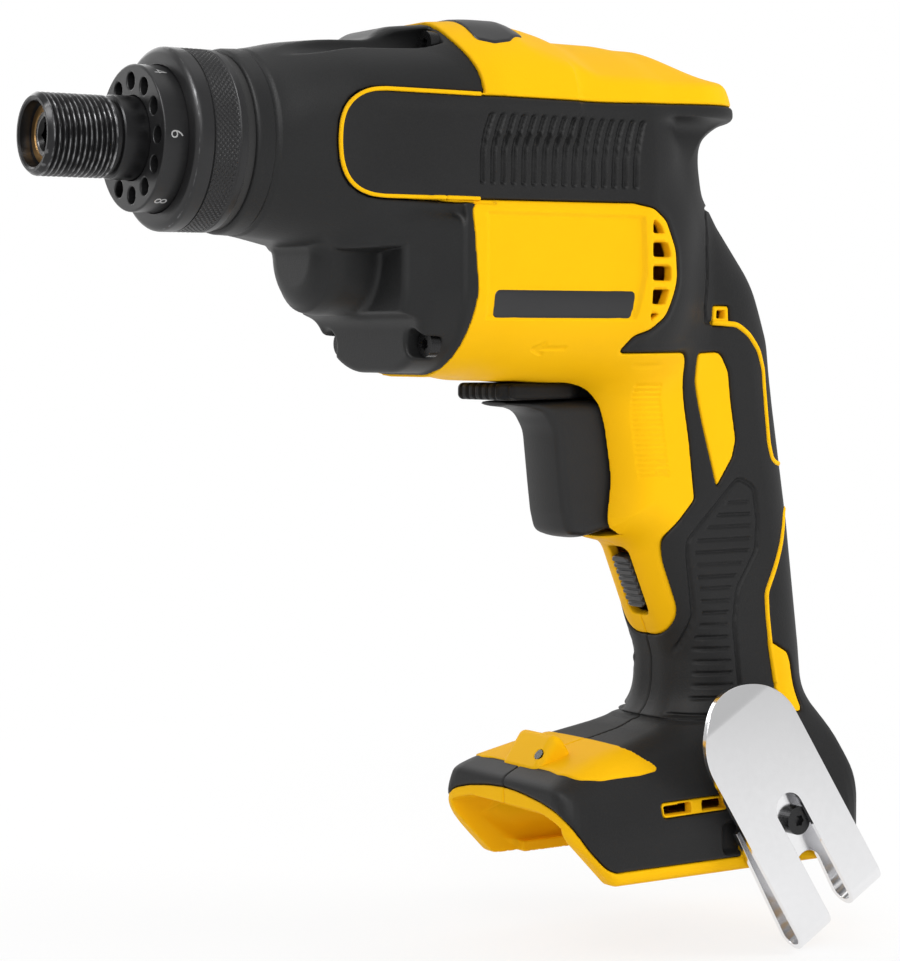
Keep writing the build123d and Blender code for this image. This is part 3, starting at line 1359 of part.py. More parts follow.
MOTOR_LEAD_ROUTE = [
    (HALL_START + HALL_THICKNESS / 2, LEAD_HEIGHT),
    (SPLIT + 78.0, LEAD_HEIGHT - 1.5),
    (SPLIT + 114.0, -66.0),
    (SPLIT + 124.0, -100.0),
    (SPLIT + 127.0, -150.0),
    (SPLIT + 112.0, -187.0),
    (SPLIT + CONTROL_FRONT + CONTROL_LENGTH, -187.0),
]
BATTERY_LEAD_ROUTE = [
    (SPLIT + TERMINAL_FRONT + 17.0, BAY_ROOF + TERMINAL_HEIGHT - 2.0),
    (SPLIT + TERMINAL_FRONT + 17.0, -170.0),
    (SWITCH_FRONT + 24.0, -130.0),
    (SWITCH_FRONT + 24.0, SWITCH_BOTTOM),
]

with BuildPart() as motor_leads:
    for lead_y in MOTOR_LEAD_ROW:
        board_edge = MOTOR_HEIGHT - math.sqrt(HALL_RADIUS**2 - (lead_y - MOTOR_LEAD_RADIUS) ** 2)
        solder_end = (HALL_START + HALL_THICKNESS / 2, board_edge - SLIP)
        add(lead([solder_end] + MOTOR_LEAD_ROUTE, MOTOR_LEAD_RADIUS, lead_y))

with BuildPart() as battery_leads:
    for lead_y in BATTERY_LEAD_ROW:
        add(lead(BATTERY_LEAD_ROUTE, BATTERY_LEAD_RADIUS, lead_y))

# Work lamp on the front of the foot: a hood with a sloped face, and a small lens in that face
LAMP_HALF_WIDTH = 9.5
LAMP_FRONT = SPLIT + FOOT_FRONT + 6.3
LAMP_LIP = -179.6
LAMP_PEAK = -170.6
LAMP_RUN = 6.4                # from the lip back to the peak
LAMP_OUTLINE = [
    (LAMP_FRONT, -192.0),
    (LAMP_FRONT, LAMP_LIP),
    (LAMP_FRONT + LAMP_RUN, LAMP_PEAK),
    (LAMP_FRONT + LAMP_RUN + 3.0, LAMP_PEAK - 0.4),
    (LAMP_FRONT + LAMP_RUN + 7.5, -177.5),
    (LAMP_FRONT + LAMP_RUN + 7.5, -192.0),
]
LENS_SHARE = 0.4              # of the way up the sloped face
LENS_SIDE = -6.4
LENS_RADIUS = 1.6
LENS_DEPTH = 1.6
LAMP_BOARD_DEPTH = 1.2
LENS_PLANE = Plane(
    origin=(
        LAMP_FRONT + LENS_SHARE * LAMP_RUN,
        LENS_SIDE,
        LAMP_LIP + LENS_SHARE * (LAMP_PEAK - LAMP_LIP),
    ),
    x_dir=(0, 1, 0),
    z_dir=(LAMP_LIP - LAMP_PEAK, 0, LAMP_RUN),
)


def lamp_bore(start, end):
    """Round plug in the lamp hood between two depths below its sloped face."""
    with BuildPart() as plug:
        with BuildSketch(LENS_PLANE.offset(-end)):
            Circle(LENS_RADIUS)
        extrude(amount=end - start)
    return plug.part


with BuildPart() as lamp_cover:
    add(side_prism(LAMP_OUTLINE, LAMP_HALF_WIDTH))
    add(foot_solid(0.0), mode=Mode.SUBTRACT)
    add(lamp_bore(-1.0, SEAT + LENS_DEPTH + LAMP_BOARD_DEPTH), mode=Mode.SUBTRACT)

with BuildPart() as lamp_lens:
    add(lamp_bore(SEAT, SEAT + LENS_DEPTH))

with BuildPart() as lamp_board:
    add(lamp_bore(SEAT + LENS_DEPTH, SEAT + LENS_DEPTH + LAMP_BOARD_DEPTH))

# Label plates, left plain
with BuildPart() as foot_label:
    add(foot_solid(-LABEL))
    add(foot_solid(0.0), mode=Mode.SUBTRACT)
    add(
        block((SPLIT + 44.0, SPLIT + 73.0), (-21.0, 21.0), (-190.0, -165.0)),
        mode=Mode.INTERSECT,
    )
    add(side_prism(LAMP_OUTLINE, LAMP_HALF_WIDTH + SEAT), mode=Mode.SUBTRACT)
    add(SKIN, mode=Mode.SUBTRACT)

with BuildPart() as side_labels:
    add(barrel_section(SPLIT + 7.5, SPLIT + 56.0, -LABEL))
    add(barrel_section(SPLIT, SPLIT + 60.0, 0.0), mode=Mode.SUBTRACT)
    add(block((SPLIT, SPLIT + 60.0), (-REACH, REACH), (-47.5, -40.0)), mode=Mode.INTERSECT)

with BuildPart() as top_label:
    add(block((SPLIT + 3.0, SPLIT + 25.0), (-9.0, 9.0), (RIDGE_TOP, RIDGE_TOP + LABEL)))

# Belt hook: a sprung strip folded back under itself, with a slot between two prongs
with BuildPart() as belt_hook:
    bend_start = HOOK_LENGTH - (HOOK_GAP / 2 + HOOK_THICKNESS)
    bend_middle = -(HOOK_INNER + HOOK_GAP / 2)
    outer_face = -(HOOK_OUTER + HOOK_THICKNESS)
    with BuildSketch(HOOK_SIDE):
        with BuildLine():
            Polyline((bend_start, -HOOK_OUTER), (0, -HOOK_OUTER), (0, outer_face), (bend_start, outer_face))
            ThreePointArc((bend_start, outer_face), (HOOK_LENGTH, bend_middle), (bend_start, -PAD_FACE))
            Polyline(
                (bend_start, -PAD_FACE), (HOOK_TAB_TOP, -PAD_FACE),
                (HOOK_TAB_TOP, -HOOK_INNER), (bend_start, -HOOK_INNER),
            )
            ThreePointArc(
                (bend_start, -HOOK_INNER),
                (HOOK_LENGTH - HOOK_THICKNESS, bend_middle),
                (bend_start, -HOOK_OUTER),
            )
        make_face()
    extrude(amount=HOOK_WIDTH / 2, both=True)
    with BuildSketch(HOOK_FACE):
        with Locations((HOOK_WIDTH / 2, 0)):
            Circle(HOOK_WIDTH / 2)
        with Locations((HOOK_WIDTH / 2 + HOOK_LENGTH / 2, 0)):
            Rectangle(HOOK_LENGTH, HOOK_WIDTH)
    extrude(amount=REACH, both=True, mode=Mode.INTERSECT)
    slots = ((HOOK_SLOT_TOP, bend_middle, -REACH), (HOOK_TAB_SLOT, -PAD_FACE + 1, bend_middle))
    for slot_top, near, far in slots:
        with BuildSketch(HOOK_FACE.offset(near)):
            with Locations((slot_top + HOOK_SLOT_WIDTH / 2, 0)):
                Circle(HOOK_SLOT_WIDTH / 2)
            with Locations((slot_top + HOOK_SLOT_WIDTH / 2 + HOOK_LENGTH / 2, 0)):
                Rectangle(HOOK_LENGTH, HOOK_SLOT_WIDTH)
        extrude(amount=far - near, mode=Mode.SUBTRACT)
    add(
        cross_bar(
            HOOK_SCREW_X, HOOK_SCREW_Z, -HOOK_INNER - 1, -PAD_FACE + 1, HOOK_SCREW_RADIUS + SEAT
        ),
        mode=Mode.SUBTRACT,
    )

with BuildPart() as hook_screw:
    head_outer = -HOOK_INNER - HOOK_SCREW_HEAD_HEIGHT
    shank_end = -PAD_FACE + INSERT_LENGTH - 0.5
    add(cross_bar(HOOK_SCREW_X, HOOK_SCREW_Z, head_outer, -HOOK_INNER, HOOK_SCREW_HEAD))
    add(cross_bar(HOOK_SCREW_X, HOOK_SCREW_Z, -HOOK_INNER, shank_end, HOOK_SCREW_RADIUS))
    with BuildSketch(Plane.XZ.offset(-head_outer)):
        with Locations((HOOK_SCREW_X, HOOK_SCREW_Z)):
            RegularPolygon(HOOK_SCREW_SOCKET, 6)
    extrude(amount=-HOOK_SCREW_SOCKET, mode=Mode.SUBTRACT)

with BuildPart() as hook_inserts:
    for side in (-1, 1):
        span = sorted((side * (PAD_FACE - INSERT_LENGTH), side * PAD_FACE))
        add(cross_bar(HOOK_SCREW_X, HOOK_SCREW_Z, span[0], span[1], INSERT_RADIUS))
        bore = sorted((side * (PAD_FACE - INSERT_LENGTH - 1), side * (PAD_FACE + 1)))
        add(
            cross_bar(HOOK_SCREW_X, HOOK_SCREW_Z, bore[0], bore[1], HOOK_SCREW_RADIUS + RUN),
            mode=Mode.SUBTRACT,
        )

PIECES = {
    "nose_sleeve": nose_sleeve,
    "nose_bush": nose_bush,
    "spindle_needle_bearing": spindle_needle_bearing,
    "dial_plate": dial_plate,
    "clutch_collar": clutch_collar,
    "collar_seal": collar_seal,
    "clutch_nut": clutch_nut,
    "clutch_spring": clutch_spring,
    "pressure_plate": pressure_plate,
    "ball_cage": ball_cage,
    "clutch_balls": clutch_balls,
    "spindle": spindle,
    "bit_magnet": bit_magnet,
    "spindle_return_spring": spindle_return_spring,
    "drive_shaft": drive_shaft,
    "drive_gear": drive_gear,
    "pinion": pinion,
    "pinion_bush": pinion_bush,
    "bearing_plate": bearing_plate,
    "spindle_bearing": spindle_bearing,
    "motor_front_bearing": motor_front_bearing,
    "motor_rear_bearing": motor_rear_bearing,
    "motor_shaft": motor_shaft,
    "rotor_core": rotor_core,
    "stator_core": stator_core,
    "stator_windings": stator_windings,
    "hall_board": hall_board,
    "motor_fan": motor_fan,
    "gearcase": gearcase_cut,
    "gearcase_screws": gearcase_screws,
    "left_housing": left_housing,
    "right_housing": right_housing,
    "housing_screws": housing_screws,
    "left_overmould": left_overmould,
    "right_overmould": right_overmould,
    "trigger": trigger,
    "trigger_spring": trigger_spring,
    "switch_module": switch_module,
    "reverse_lever": reverse_lever,
    "lock_slider": lock_slider,
    "control_module": control_module,
    "motor_leads": motor_leads,
    "battery_leads": battery_leads,
    "terminal_block": terminal_block,
    "battery_contacts": battery_contacts,
    "lamp_cover": lamp_cover,
    "lamp_lens": lamp_lens,
    "lamp_board": lamp_board,
    "foot_label": foot_label,
    "side_labels": side_labels,
    "top_label": top_label,
    "belt_hook": belt_hook,
    "hook_screw": hook_screw,
    "hook_inserts": hook_inserts,
}

for name, piece in PIECES.items():
    piece.part.label = name
    export_step(piece.part, f"parts/{name}.step")
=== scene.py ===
import math

import bmesh
import bpy
import numpy as np
from mathutils import Matrix, Vector


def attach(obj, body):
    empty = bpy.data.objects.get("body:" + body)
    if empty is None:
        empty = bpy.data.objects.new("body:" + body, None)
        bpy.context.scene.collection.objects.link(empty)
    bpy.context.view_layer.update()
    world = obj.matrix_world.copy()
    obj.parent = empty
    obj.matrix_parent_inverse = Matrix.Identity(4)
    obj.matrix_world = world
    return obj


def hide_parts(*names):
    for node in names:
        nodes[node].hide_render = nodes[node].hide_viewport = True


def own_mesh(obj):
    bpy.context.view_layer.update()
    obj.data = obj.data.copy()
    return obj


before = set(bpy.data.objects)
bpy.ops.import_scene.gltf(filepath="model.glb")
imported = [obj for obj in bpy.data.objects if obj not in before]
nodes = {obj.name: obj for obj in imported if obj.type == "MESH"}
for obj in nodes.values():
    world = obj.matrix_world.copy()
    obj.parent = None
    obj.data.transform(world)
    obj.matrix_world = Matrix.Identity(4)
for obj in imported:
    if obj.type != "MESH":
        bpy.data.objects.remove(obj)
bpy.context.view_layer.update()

# Drive train: motor, gears, clutch and spindle inside the tool, in steel, copper and bronze.
# They are turned, cut and wound pieces that sit in the gearcase and the housing's ribs, and show
# only through the vents and at the nose, so the CAD shapes stay and get their finishes here.
MM = 0.001


def feed(node, inputs):
    """Links sockets to a node's inputs, a list to one input, and sets other inputs to values."""
    for key, given in inputs.items():
        for one in given if isinstance(given, list) else [given]:
            if isinstance(one, bpy.types.NodeSocket):
                node.id_data.links.new(one, node.inputs[key])
            else:
                node.inputs[key].default_value = one
    return node


def add_node(tree, kind, inputs, output=0, **settings):
    """Adds a node with its settings and inputs to a tree, and returns one of its outputs."""
    node = tree.nodes.new(kind)
    for name, value in settings.items():
        setattr(node, name, value)
    return feed(node, inputs).outputs[output]


def calculate(tree, operation, *values):
    """Socket with the result of an operation on numbers or sockets."""
    return add_node(tree, "ShaderNodeMath", dict(enumerate(values)), operation=operation)


def object_place(tree):
    """Socket with the place on the object, in metres."""
    return add_node(tree, "ShaderNodeTexCoord", {}, "Object")


def node_group(name, inputs, outputs, kind="ShaderNodeTree"):
    """Node group with named sockets, and what comes in through them."""
    group = bpy.data.node_groups.new(name, kind)
    for way, sockets in (("INPUT", inputs), ("OUTPUT", outputs)):
        for socket, value in sockets.items():
            group.interface.new_socket(socket, in_out=way, socket_type="NodeSocket" + value)
    given = group.nodes.new("NodeGroupInput").outputs
    group.nodes.new("NodeGroupOutput")
    return group, given


def grain_group():
    """Shader group for a fine surface: two tones, a roughness range and a height for a bump."""
    inputs = {"Tone": "Color", "Shade": "Color", "Smooth": "Float", "Rough": "Float", "Scale": "Float",
              "Stretch": "Vector"}
    outputs = {"Colour": "Color", "Roughness": "Float", "Height": "Float"}
    tree, given = node_group("surface_grain", inputs, outputs)
    place = object_place(tree)
    drawn = add_node(tree, "ShaderNodeVectorMath", {0: place, 1: given["Stretch"]}, operation="MULTIPLY")
    fine = add_node(tree, "ShaderNodeTexNoise", {"Vector": drawn, "Scale": given["Scale"], "Detail": 3.0})
    cloud = add_node(tree, "ShaderNodeTexNoise", {"Vector": place, "Scale": 35.0, "Detail": 2.0})
    half_cloud = calculate(tree, "MULTIPLY", cloud, 0.5)
    both = calculate(tree, "MULTIPLY_ADD", fine, 0.5, half_cloud)
    tone = add_node(tree, "ShaderNodeMix", {"Factor": both, "A": given["Tone"], "B": given["Shade"]},
                    "Result", data_type="RGBA")
    gloss = add_node(tree, "ShaderNodeMapRange",
                     {"Value": both, "To Min": given["Smooth"], "To Max": given["Rough"]})
    feed(tree.nodes["Group Output"], {"Colour": tone, "Roughness": gloss, "Height": fine})
    return tree


GRAIN = grain_group()


def new_material(name):
    """Material with its node tree and its Principled shader."""
    material = bpy.data.materials.new(name)
    material.use_nodes = True
    return material, material.node_tree, material.node_tree.nodes["Principled BSDF"]


def finish(name, tone, shade, gloss, scale, relief, metallic=0.0, stretch=(1, 1, 1), shine=0.5):
    """Material with the grain group: two tones, (smooth, rough) gloss, grain scale and bump relief in mm."""
    material, tree, shader = new_material(name)
    look = {"Tone": (*tone, 1), "Shade": (*shade, 1), "Smooth": gloss[0], "Rough": gloss[1], "Scale": scale,
            "Stretch": stretch}
    grain = add_node(tree, "ShaderNodeGroup", look, node_tree=GRAIN).node.outputs
    normal = add_node(tree, "ShaderNodeBump",
                      {"Height": grain["Height"], "Strength": 1.0, "Distance": relief * MM})
    feed(shader, {"Base Color": grain["Colour"], "Roughness": grain["Roughness"], "Normal": normal,
                  "Metallic": metallic, "Specular IOR Level": shine})
    return material


def tinted(material, mask, tone):
    """Gives a finish another tone where a mask is 1."""
    tree = material.node_tree
    grain = next(node for node in tree.nodes if node.type == "GROUP")
    mix = add_node(tree, "ShaderNodeMix", {"Factor": mask, "A": grain.outputs["Colour"], "B": (*tone, 1)},
                   "Result", data_type="RGBA")
    feed(tree.nodes["Principled BSDF"], {"Base Color": mix})
    return material


def dress(material, *names):
    """Gives CAD nodes that stay in view their material."""
    for name in names:
        mesh = nodes[name].data
        mesh.materials.clear()
        mesh.materials.append(material)


TURNED = (0.15, 1.0, 1.0)
STEEL = ((0.62, 0.61, 0.6), (0.5, 0.5, 0.5), (0.2, 0.34), 2600, 0.01, 1.0, TURNED)
bright_steel = finish("bright_steel", *STEEL)
black_steel = finish("black_oxide_steel", (0.03, 0.03, 0.032), (0.05, 0.048, 0.047), (0.28, 0.42), 2400, 0.01,
                     0.85)
bronze = finish("bronze", (0.55, 0.33, 0.12), (0.45, 0.25, 0.09), (0.25, 0.4), 2200, 0.01, 1.0, TURNED)
copper = finish("copper_windings", (0.6, 0.24, 0.1), (0.4, 0.14, 0.06), (0.25, 0.45), 1500, 0.05, 1.0)
laminations = finish("motor_laminations", (0.3, 0.3, 0.31), (0.2, 0.2, 0.21), (0.35, 0.5), 3000, 0.02, 1.0,
                     (4.0, 0.2, 0.2))
alloy = finish("alloy", (0.5, 0.5, 0.5), (0.4, 0.4, 0.41), (0.4, 0.55), 1300, 0.03, 1.0)
board_green = finish("board_green", (0.02, 0.13, 0.05), (0.03, 0.2, 0.08), (0.3, 0.45), 900, 0.01)
lead_sleeve = finish("lead_sleeve", (0.03, 0.03, 0.03), (0.05, 0.05, 0.05), (0.35, 0.5), 1200, 0.01)
inner_plastic = finish("black_plastic", (0.022, 0.022, 0.023), (0.035, 0.035, 0.036), (0.38, 0.52), 1500,
                       0.02)
dress(bright_steel, "spindle_needle_bearing", "pressure_plate", "clutch_balls", "drive_gear", "drive_shaft",
      "pinion", "motor_shaft", "spindle_bearing", "motor_front_bearing", "motor_rear_bearing")
dress(bronze, "nose_bush", "clutch_nut", "ball_cage", "pinion_bush", "battery_contacts", "hook_inserts")
dress(copper, "stator_windings")
dress(laminations, "stator_core", "rotor_core")
dress(black_steel, "bit_magnet")
dress(alloy, "bearing_plate")
dress(board_green, "hall_board", "lamp_board")
dress(lead_sleeve, "motor_leads", "battery_leads")
dress(inner_plastic, "motor_fan", "switch_module", "control_module", "terminal_block")


def painted_shade_bore(material, radius, tone):
    """Paints shade into a turned material inside a radius, in mm, round the X axis: the bore is coloured
    darker, as if in shadow.
    """
    tree = material.node_tree
    place = object_place(tree)
    across = add_node(tree, "ShaderNodeVectorMath", {0: place, 1: (0, 1, 1)}, operation="MULTIPLY")
    reach = add_node(tree, "ShaderNodeVectorMath", {0: across}, "Value", operation="LENGTH")
    inside = add_node(tree, "ShaderNodeMapRange", {
        "Value": reach, "From Min": (radius - 0.2) * MM, "From Max": (radius + 0.2) * MM, "To Min": 1.0,
        "To Max": 0.0})
    return tinted(material, inside, tone)


# Painted shade: the spindle's steel is coloured dark inside 4.6 mm from the axis, in its hex socket.
dress(painted_shade_bore(finish("spindle_steel", *STEEL), 4.6, (0.02, 0.02, 0.02)), "spindle")

# Gearcase: black die casting with a fine grained coat, screwed to the front of the housing.
# A round snout widens into the upper body. Below it a round boss stands between two hollow cheeks, and a
# rounded square flange meets the housing. Its shape is a distance field, in mm, turned into a mesh.
STEP, SMALL_STEP, FINE_STEP = ((0.5, 0.35, 0.3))
EASE_STEP = 0.25
EASE_MARGIN = 20
CORNER_POINTS = 7


def smooth_max(first, second, blend):
    """The larger of two distances, with the corner between them rounded."""
    near = np.maximum(blend - np.abs(first - second), 0) / blend
    return np.maximum(first, second) + near * near * (blend / 4)


def smooth_min(first, second, blend):
    """The smaller of two distances, with a fillet between them."""
    return -smooth_max(-first, -second, blend)


def overlap(*parts):
    """The space that all the parts share."""
    shared = parts[0]
    for part in parts[1:]:
        shared = np.maximum(shared, part)
    return shared


def union(*parts):
    """The space that the parts fill together."""
    return -overlap(*[-part for part in parts])


def cut(body, *tool):
    """A body without the space that the parts of a tool share."""
    return np.maximum(body, -overlap(*tool))


def smooth_step(low, high, places):
    """Rises from 0 at low to 1 at high without corners."""
    share = np.clip((places - low) / (high - low), 0, 1)
    return share * share * (3 - 2 * share)


def groove(distance, half_width):
    """1 in the middle of a groove, easing to 0 at its edges."""
    return 1 - smooth_step(0.35 * half_width, half_width, distance)


def rounded_corner(first, second, radius):
    """Two faces that meet in a round of a given radius."""
    u = first + radius
    v = second + radius
    return np.minimum(np.maximum(u, v), 0) + np.hypot(np.maximum(u, 0), np.maximum(v, 0)) - radius


def ease(knots, places, soften=5.0):
    """A value that runs through (place, value) knots with its corners softened."""
    places_known, values = zip(*sorted(knots))
    fine = np.arange(places_known[0] - EASE_MARGIN, places_known[-1] + EASE_MARGIN, EASE_STEP)
    window = np.hanning(int(soften / EASE_STEP) * 2 + 3)
    run = np.pad(np.interp(fine, places_known, values), len(window) // 2, "edge")
    return np.interp(places, fine, np.convolve(run, window / window.sum(), "valid")).astype(np.float32)


def rounded(corners):
    """Closed outline through (x, z, radius) corners, each eased into a curve."""
    outline = []
    for before, here, after in zip(corners[-1:] + corners[:-1], corners, corners[1:] + corners[:1]):
        point = np.array(here[:2], float)
        back = np.array(before[:2]) - point
        on = np.array(after[:2]) - point
        reach_back, reach_on = np.hypot(*back), np.hypot(*on)
        half_angle = math.acos(np.clip(back @ on / (reach_back * reach_on), -1, 1)) / 2
        trim = min(here[2] / math.tan(max(half_angle, 0.01)), 0.48 * reach_back, 0.48 * reach_on)
        start = point + back / reach_back * trim
        end = point + on / reach_on * trim
        for t in np.linspace(0, 1, CORNER_POINTS):
            outline.append((1 - t) ** 2 * start + 2 * t * (1 - t) * point + t * t * end)
    return np.array(outline, np.float32)


def path_distance(points, u, v):
    """Distance of places (u, v) from an open line."""
    nearest = np.float32(1e9)
    for (au, av), (bu, bv) in zip(points[:-1], points[1:]):
        run, rise = bu - au, bv - av
        length = max(run * run + rise * rise, 1e-9)
        along = np.clip(((u - au) * run + (v - av) * rise) / length, 0, 1)
        nearest = np.minimum(nearest, (u - au - along * run) ** 2 + (v - av - along * rise) ** 2)
    return np.sqrt(nearest).astype(np.float32)


def flat_distance(corners, u, v):
    """Signed distance of places (u, v) from a rounded outline, negative inside."""
    outline = rounded(list(corners))
    closed = np.concatenate((outline, outline[:1]))
    inside = False
    for (au, av), (bu, bv) in zip(closed[:-1], closed[1:]):
        if av != bv:
            inside = inside ^ (((av > v) != (bv > v)) & (u < au + (v - av) * ((bu - au) / (bv - av))))
    return np.where(inside, -1, 1).astype(np.float32) * path_distance(closed, u, v)


def space(low, high, step=STEP):
    """Grid of points: x, y and z as arrays that broadcast together."""
    axes = [np.arange(a, b + step, step, dtype=np.float32) for a, b in zip(low, high)]
    return axes[0][:, None, None], axes[1][None, :, None], axes[2][None, None, :]


def spacing(grid):
    """First corner of a grid and its step."""
    step = float(grid[0][1, 0, 0] - grid[0][0, 0, 0])
    return np.array([axis.ravel()[0] for axis in grid]), step


def net(field, grid):
    """Closed skin where the field is zero: points in mm and quads, outward."""
    low, step = spacing(grid)
    inside = field < 0
    nx, ny, nz = field.shape
    corners = [(i, j, k) for i in (0, 1) for j in (0, 1) for k in (0, 1)]
    count = np.zeros((nx - 1, ny - 1, nz - 1), np.uint8)
    for i, j, k in corners:
        count += inside[i:nx - 1 + i, j:ny - 1 + j, k:nz - 1 + k]
    mixed = (count > 0) & (count < 8)
    cells = np.argwhere(mixed)
    number = np.full(mixed.shape, -1, np.int32)
    number[mixed] = np.arange(len(cells))
    total = np.zeros((len(cells), 3), np.float32)
    hits = np.zeros(len(cells), np.float32)
    for start in corners:
        for axis in range(3):
            if start[axis]:
                continue
            end = np.array(start)
            end[axis] = 1
            first = field[tuple((cells + start).T)]
            second = field[tuple((cells + end).T)]
            crossed = (first < 0) != (second < 0)
            share = np.where(crossed, first / np.where(crossed, first - second, 1), 0)
            total += np.where(crossed[:, None], start + share[:, None] * (end - start), 0)
            hits += crossed
    points = low + (cells + total / hits[:, None]) * step
    quads = []
    for axis in range(3):
        i, j = [(1, 2), (2, 0), (0, 1)][axis]
        near = [slice(1, -1)] * 3
        near[axis] = slice(0, -1)
        far = list(near)
        far[axis] = slice(1, None)
        change = inside[tuple(near)] != inside[tuple(far)]
        edges = np.argwhere(change)
        edges[:, i] += 1
        edges[:, j] += 1
        leaves = inside[tuple(edges.T)]
        ring = []
        for di, dj in ((0, 0), (-1, 0), (-1, -1), (0, -1)):
            cell = edges.copy()
            cell[:, i] += di
            cell[:, j] += dj
            ring.append(number[tuple(cell.T)])
        ring = np.stack(ring, 1)
        ring[~leaves] = ring[~leaves][:, ::-1]
        quads.append(ring)
    return points, np.concatenate(quads)


def sample(field, grid, points):
    """The field between grid points."""
    low, step = spacing(grid)
    place = np.clip((points - low) / step, 0, np.array(field.shape) - 1.001)
    cell = place.astype(int)
    part = place - cell
    value = 0
    for corner in np.ndindex(2, 2, 2):
        weight = np.prod(np.where(corner, part, 1 - part), axis=1)
        value = value + weight * field[tuple((cell + corner).T)]
    return value


def mesh_of(name, points, faces):
    """Mesh from points in mm and faces of one length."""
    mesh = bpy.data.meshes.new(name)
    size = faces.shape[1]
    mesh.vertices.add(len(points))
    mesh.vertices.foreach_set("co", (points * MM).astype(np.float32).ravel())
    mesh.loops.add(faces.size)
    mesh.loops.foreach_set("vertex_index", faces.astype(np.int32).ravel())
    mesh.polygons.add(len(faces))
    mesh.polygons.foreach_set("loop_start", np.arange(0, faces.size, size, dtype=np.int32))
    mesh.update(calc_edges=True)
    return mesh


def new_object(name, data):
    """Object in the scene."""
    made = bpy.data.objects.new(name, data)
    bpy.context.scene.collection.objects.link(made)
    return made


def baked(maker):
    """Mesh of an object as its modifiers or its text leave it. The object goes."""
    mesh = bpy.data.meshes.new_from_object(maker.evaluated_get(bpy.context.evaluated_depsgraph_get()))
    bpy.data.objects.remove(maker)
    return mesh


def place_piece(name, mesh, material, body, slot, *replaced):
    """Puts a finished mesh in the scene as a piece that rides on a CAD body."""
    piece = new_object(name, mesh)
    mesh.materials.clear()
    mesh.materials.append(material)
    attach(piece, body)
    if replaced:
        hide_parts(*replaced)
    return piece


def slope(field, grid, points, reach):
    """The way in which a field rises at points, over a reach to either side."""
    ways = np.eye(3) * reach
    rises = [sample(field, grid, points + way) - sample(field, grid, points - way) for way in ways]
    return np.stack(rises, 1)


def moulded(name, field, grid, triangles, material, body, slot, *replaced, mirror=False):
    """Piece with a field's skin, thinned to a number of triangles, with normals from the field."""
    points, quads = net(field, grid)
    mesh = mesh_of(name, points, quads)
    if 2 * len(quads) > triangles:
        shaped = new_object(name + "_shaped", mesh)
        shaped.modifiers.new("thin", "DECIMATE").ratio = triangles / (2 * len(quads))
        mesh = baked(shaped)
    co = np.zeros(len(mesh.vertices) * 3, np.float32)
    mesh.vertices.foreach_get("co", co)
    points = co.reshape(-1, 3) / MM
    normals = slope(field, grid, points, 0.5 * spacing(grid)[1])
    normals /= np.maximum(np.linalg.norm(normals, axis=1, keepdims=True), 1e-6)
    if mirror:
        co = (points * (1, -1, 1) * MM).astype(np.float32)
        mesh.vertices.foreach_set("co", co.ravel())
        mesh.flip_normals()
        normals = normals * (1, -1, 1)
    mesh.shade_smooth()
    mesh.normals_split_custom_set_from_vertices(normals.astype(np.float32))
    mesh.update()
    return place_piece(name, mesh, material, body, slot, *replaced)


MOTOR_DROP = 30.0
REAR_TIP = 221.5
SNOUT_FRONT = 53.4
BOSS_RADIUS = 17
BOSS_FRONT = 78
FLANGE_FRONT = 114.6
FLANGE_PROUD = 1.2
LOBE_DEPTH = 3.4
CASE_SCREWS = ((23, -55, 110, 4.2), (17.2, 28.4, 113.6, 5))
SPINDLE_BORES = ((17.5, 0, 66), (21, 64, 100), (24.9, 98, 200))
MOTOR_BORES = ((11, 98, 200), (15, 108, 200), (5, 85, 200))
LOBE = ((76.6, 13.4, 12.5), (124, 13.4, 0), (124, -15.3, 0), (76.6, -14.4, 12.5))
SEAM = ((-70, 114.5), (-63, 115), (-40, 118.5), (-16.5, 116.5), (-14.5, 121.5), (13.5, 121.4), (20, 120.5),
        (24, 118.8), (29.7, 115.5), (36, 113.5), (40, 113))


def upper_body(x, a, z):
    """The long upper body from the round snout to the rear tip, with the hump on top."""
    width = ease(((59, 25.2), (84, 31.5)), x, 8)
    corner = ease(((59, 25.1), (84, 20), (112, 20), (126, 23.5)), x, 8)
    top = ease(((53, 25.2), (61, 25.4), (68, 27.2), (81, 28.4), (96, 29.1), (108, 30), (119, 32.6),
                (127, 34.6), (230, 34.8)), x, 6)
    low = ease(((59, -25.2), (84, -29)), x, 8)
    plan = rounded_corner(x - REAR_TIP, a - width, 24)
    return rounded_corner(plan, np.maximum(z - top, low - z), corner)


def hump(x, a, z):
    """The raised cover over the gears at the front of the hump."""
    width = ease(((97, 15), (105, 18.5), (112, 22), (119, 27), (126, 31)), x, 5)
    top = ease(((97, 32.6), (100, 33), (107, 33.8), (115, 34.4), (122, 34.6), (141, 34.8)), x, 4)
    ramp = -0.881 * (x - 97.6) + 0.473 * (z - 28)
    corner = ease(((97, 7), (112, 12), (126, 23)), x, 5)
    cover = rounded_corner(a - width, smooth_max(z - top, ramp, 3), corner)
    return overlap(cover, 5 - z, x - 150)


def barrel(x, a, z):
    """Rounded square section round the motor, without its ends."""
    low = ease(((104, -63.2), (128, -63.2), (134, -64.4), (170, -65.1)), x, 4)
    return rounded_corner(a - 31.8, np.maximum(z - 1.5, low - z), 24)


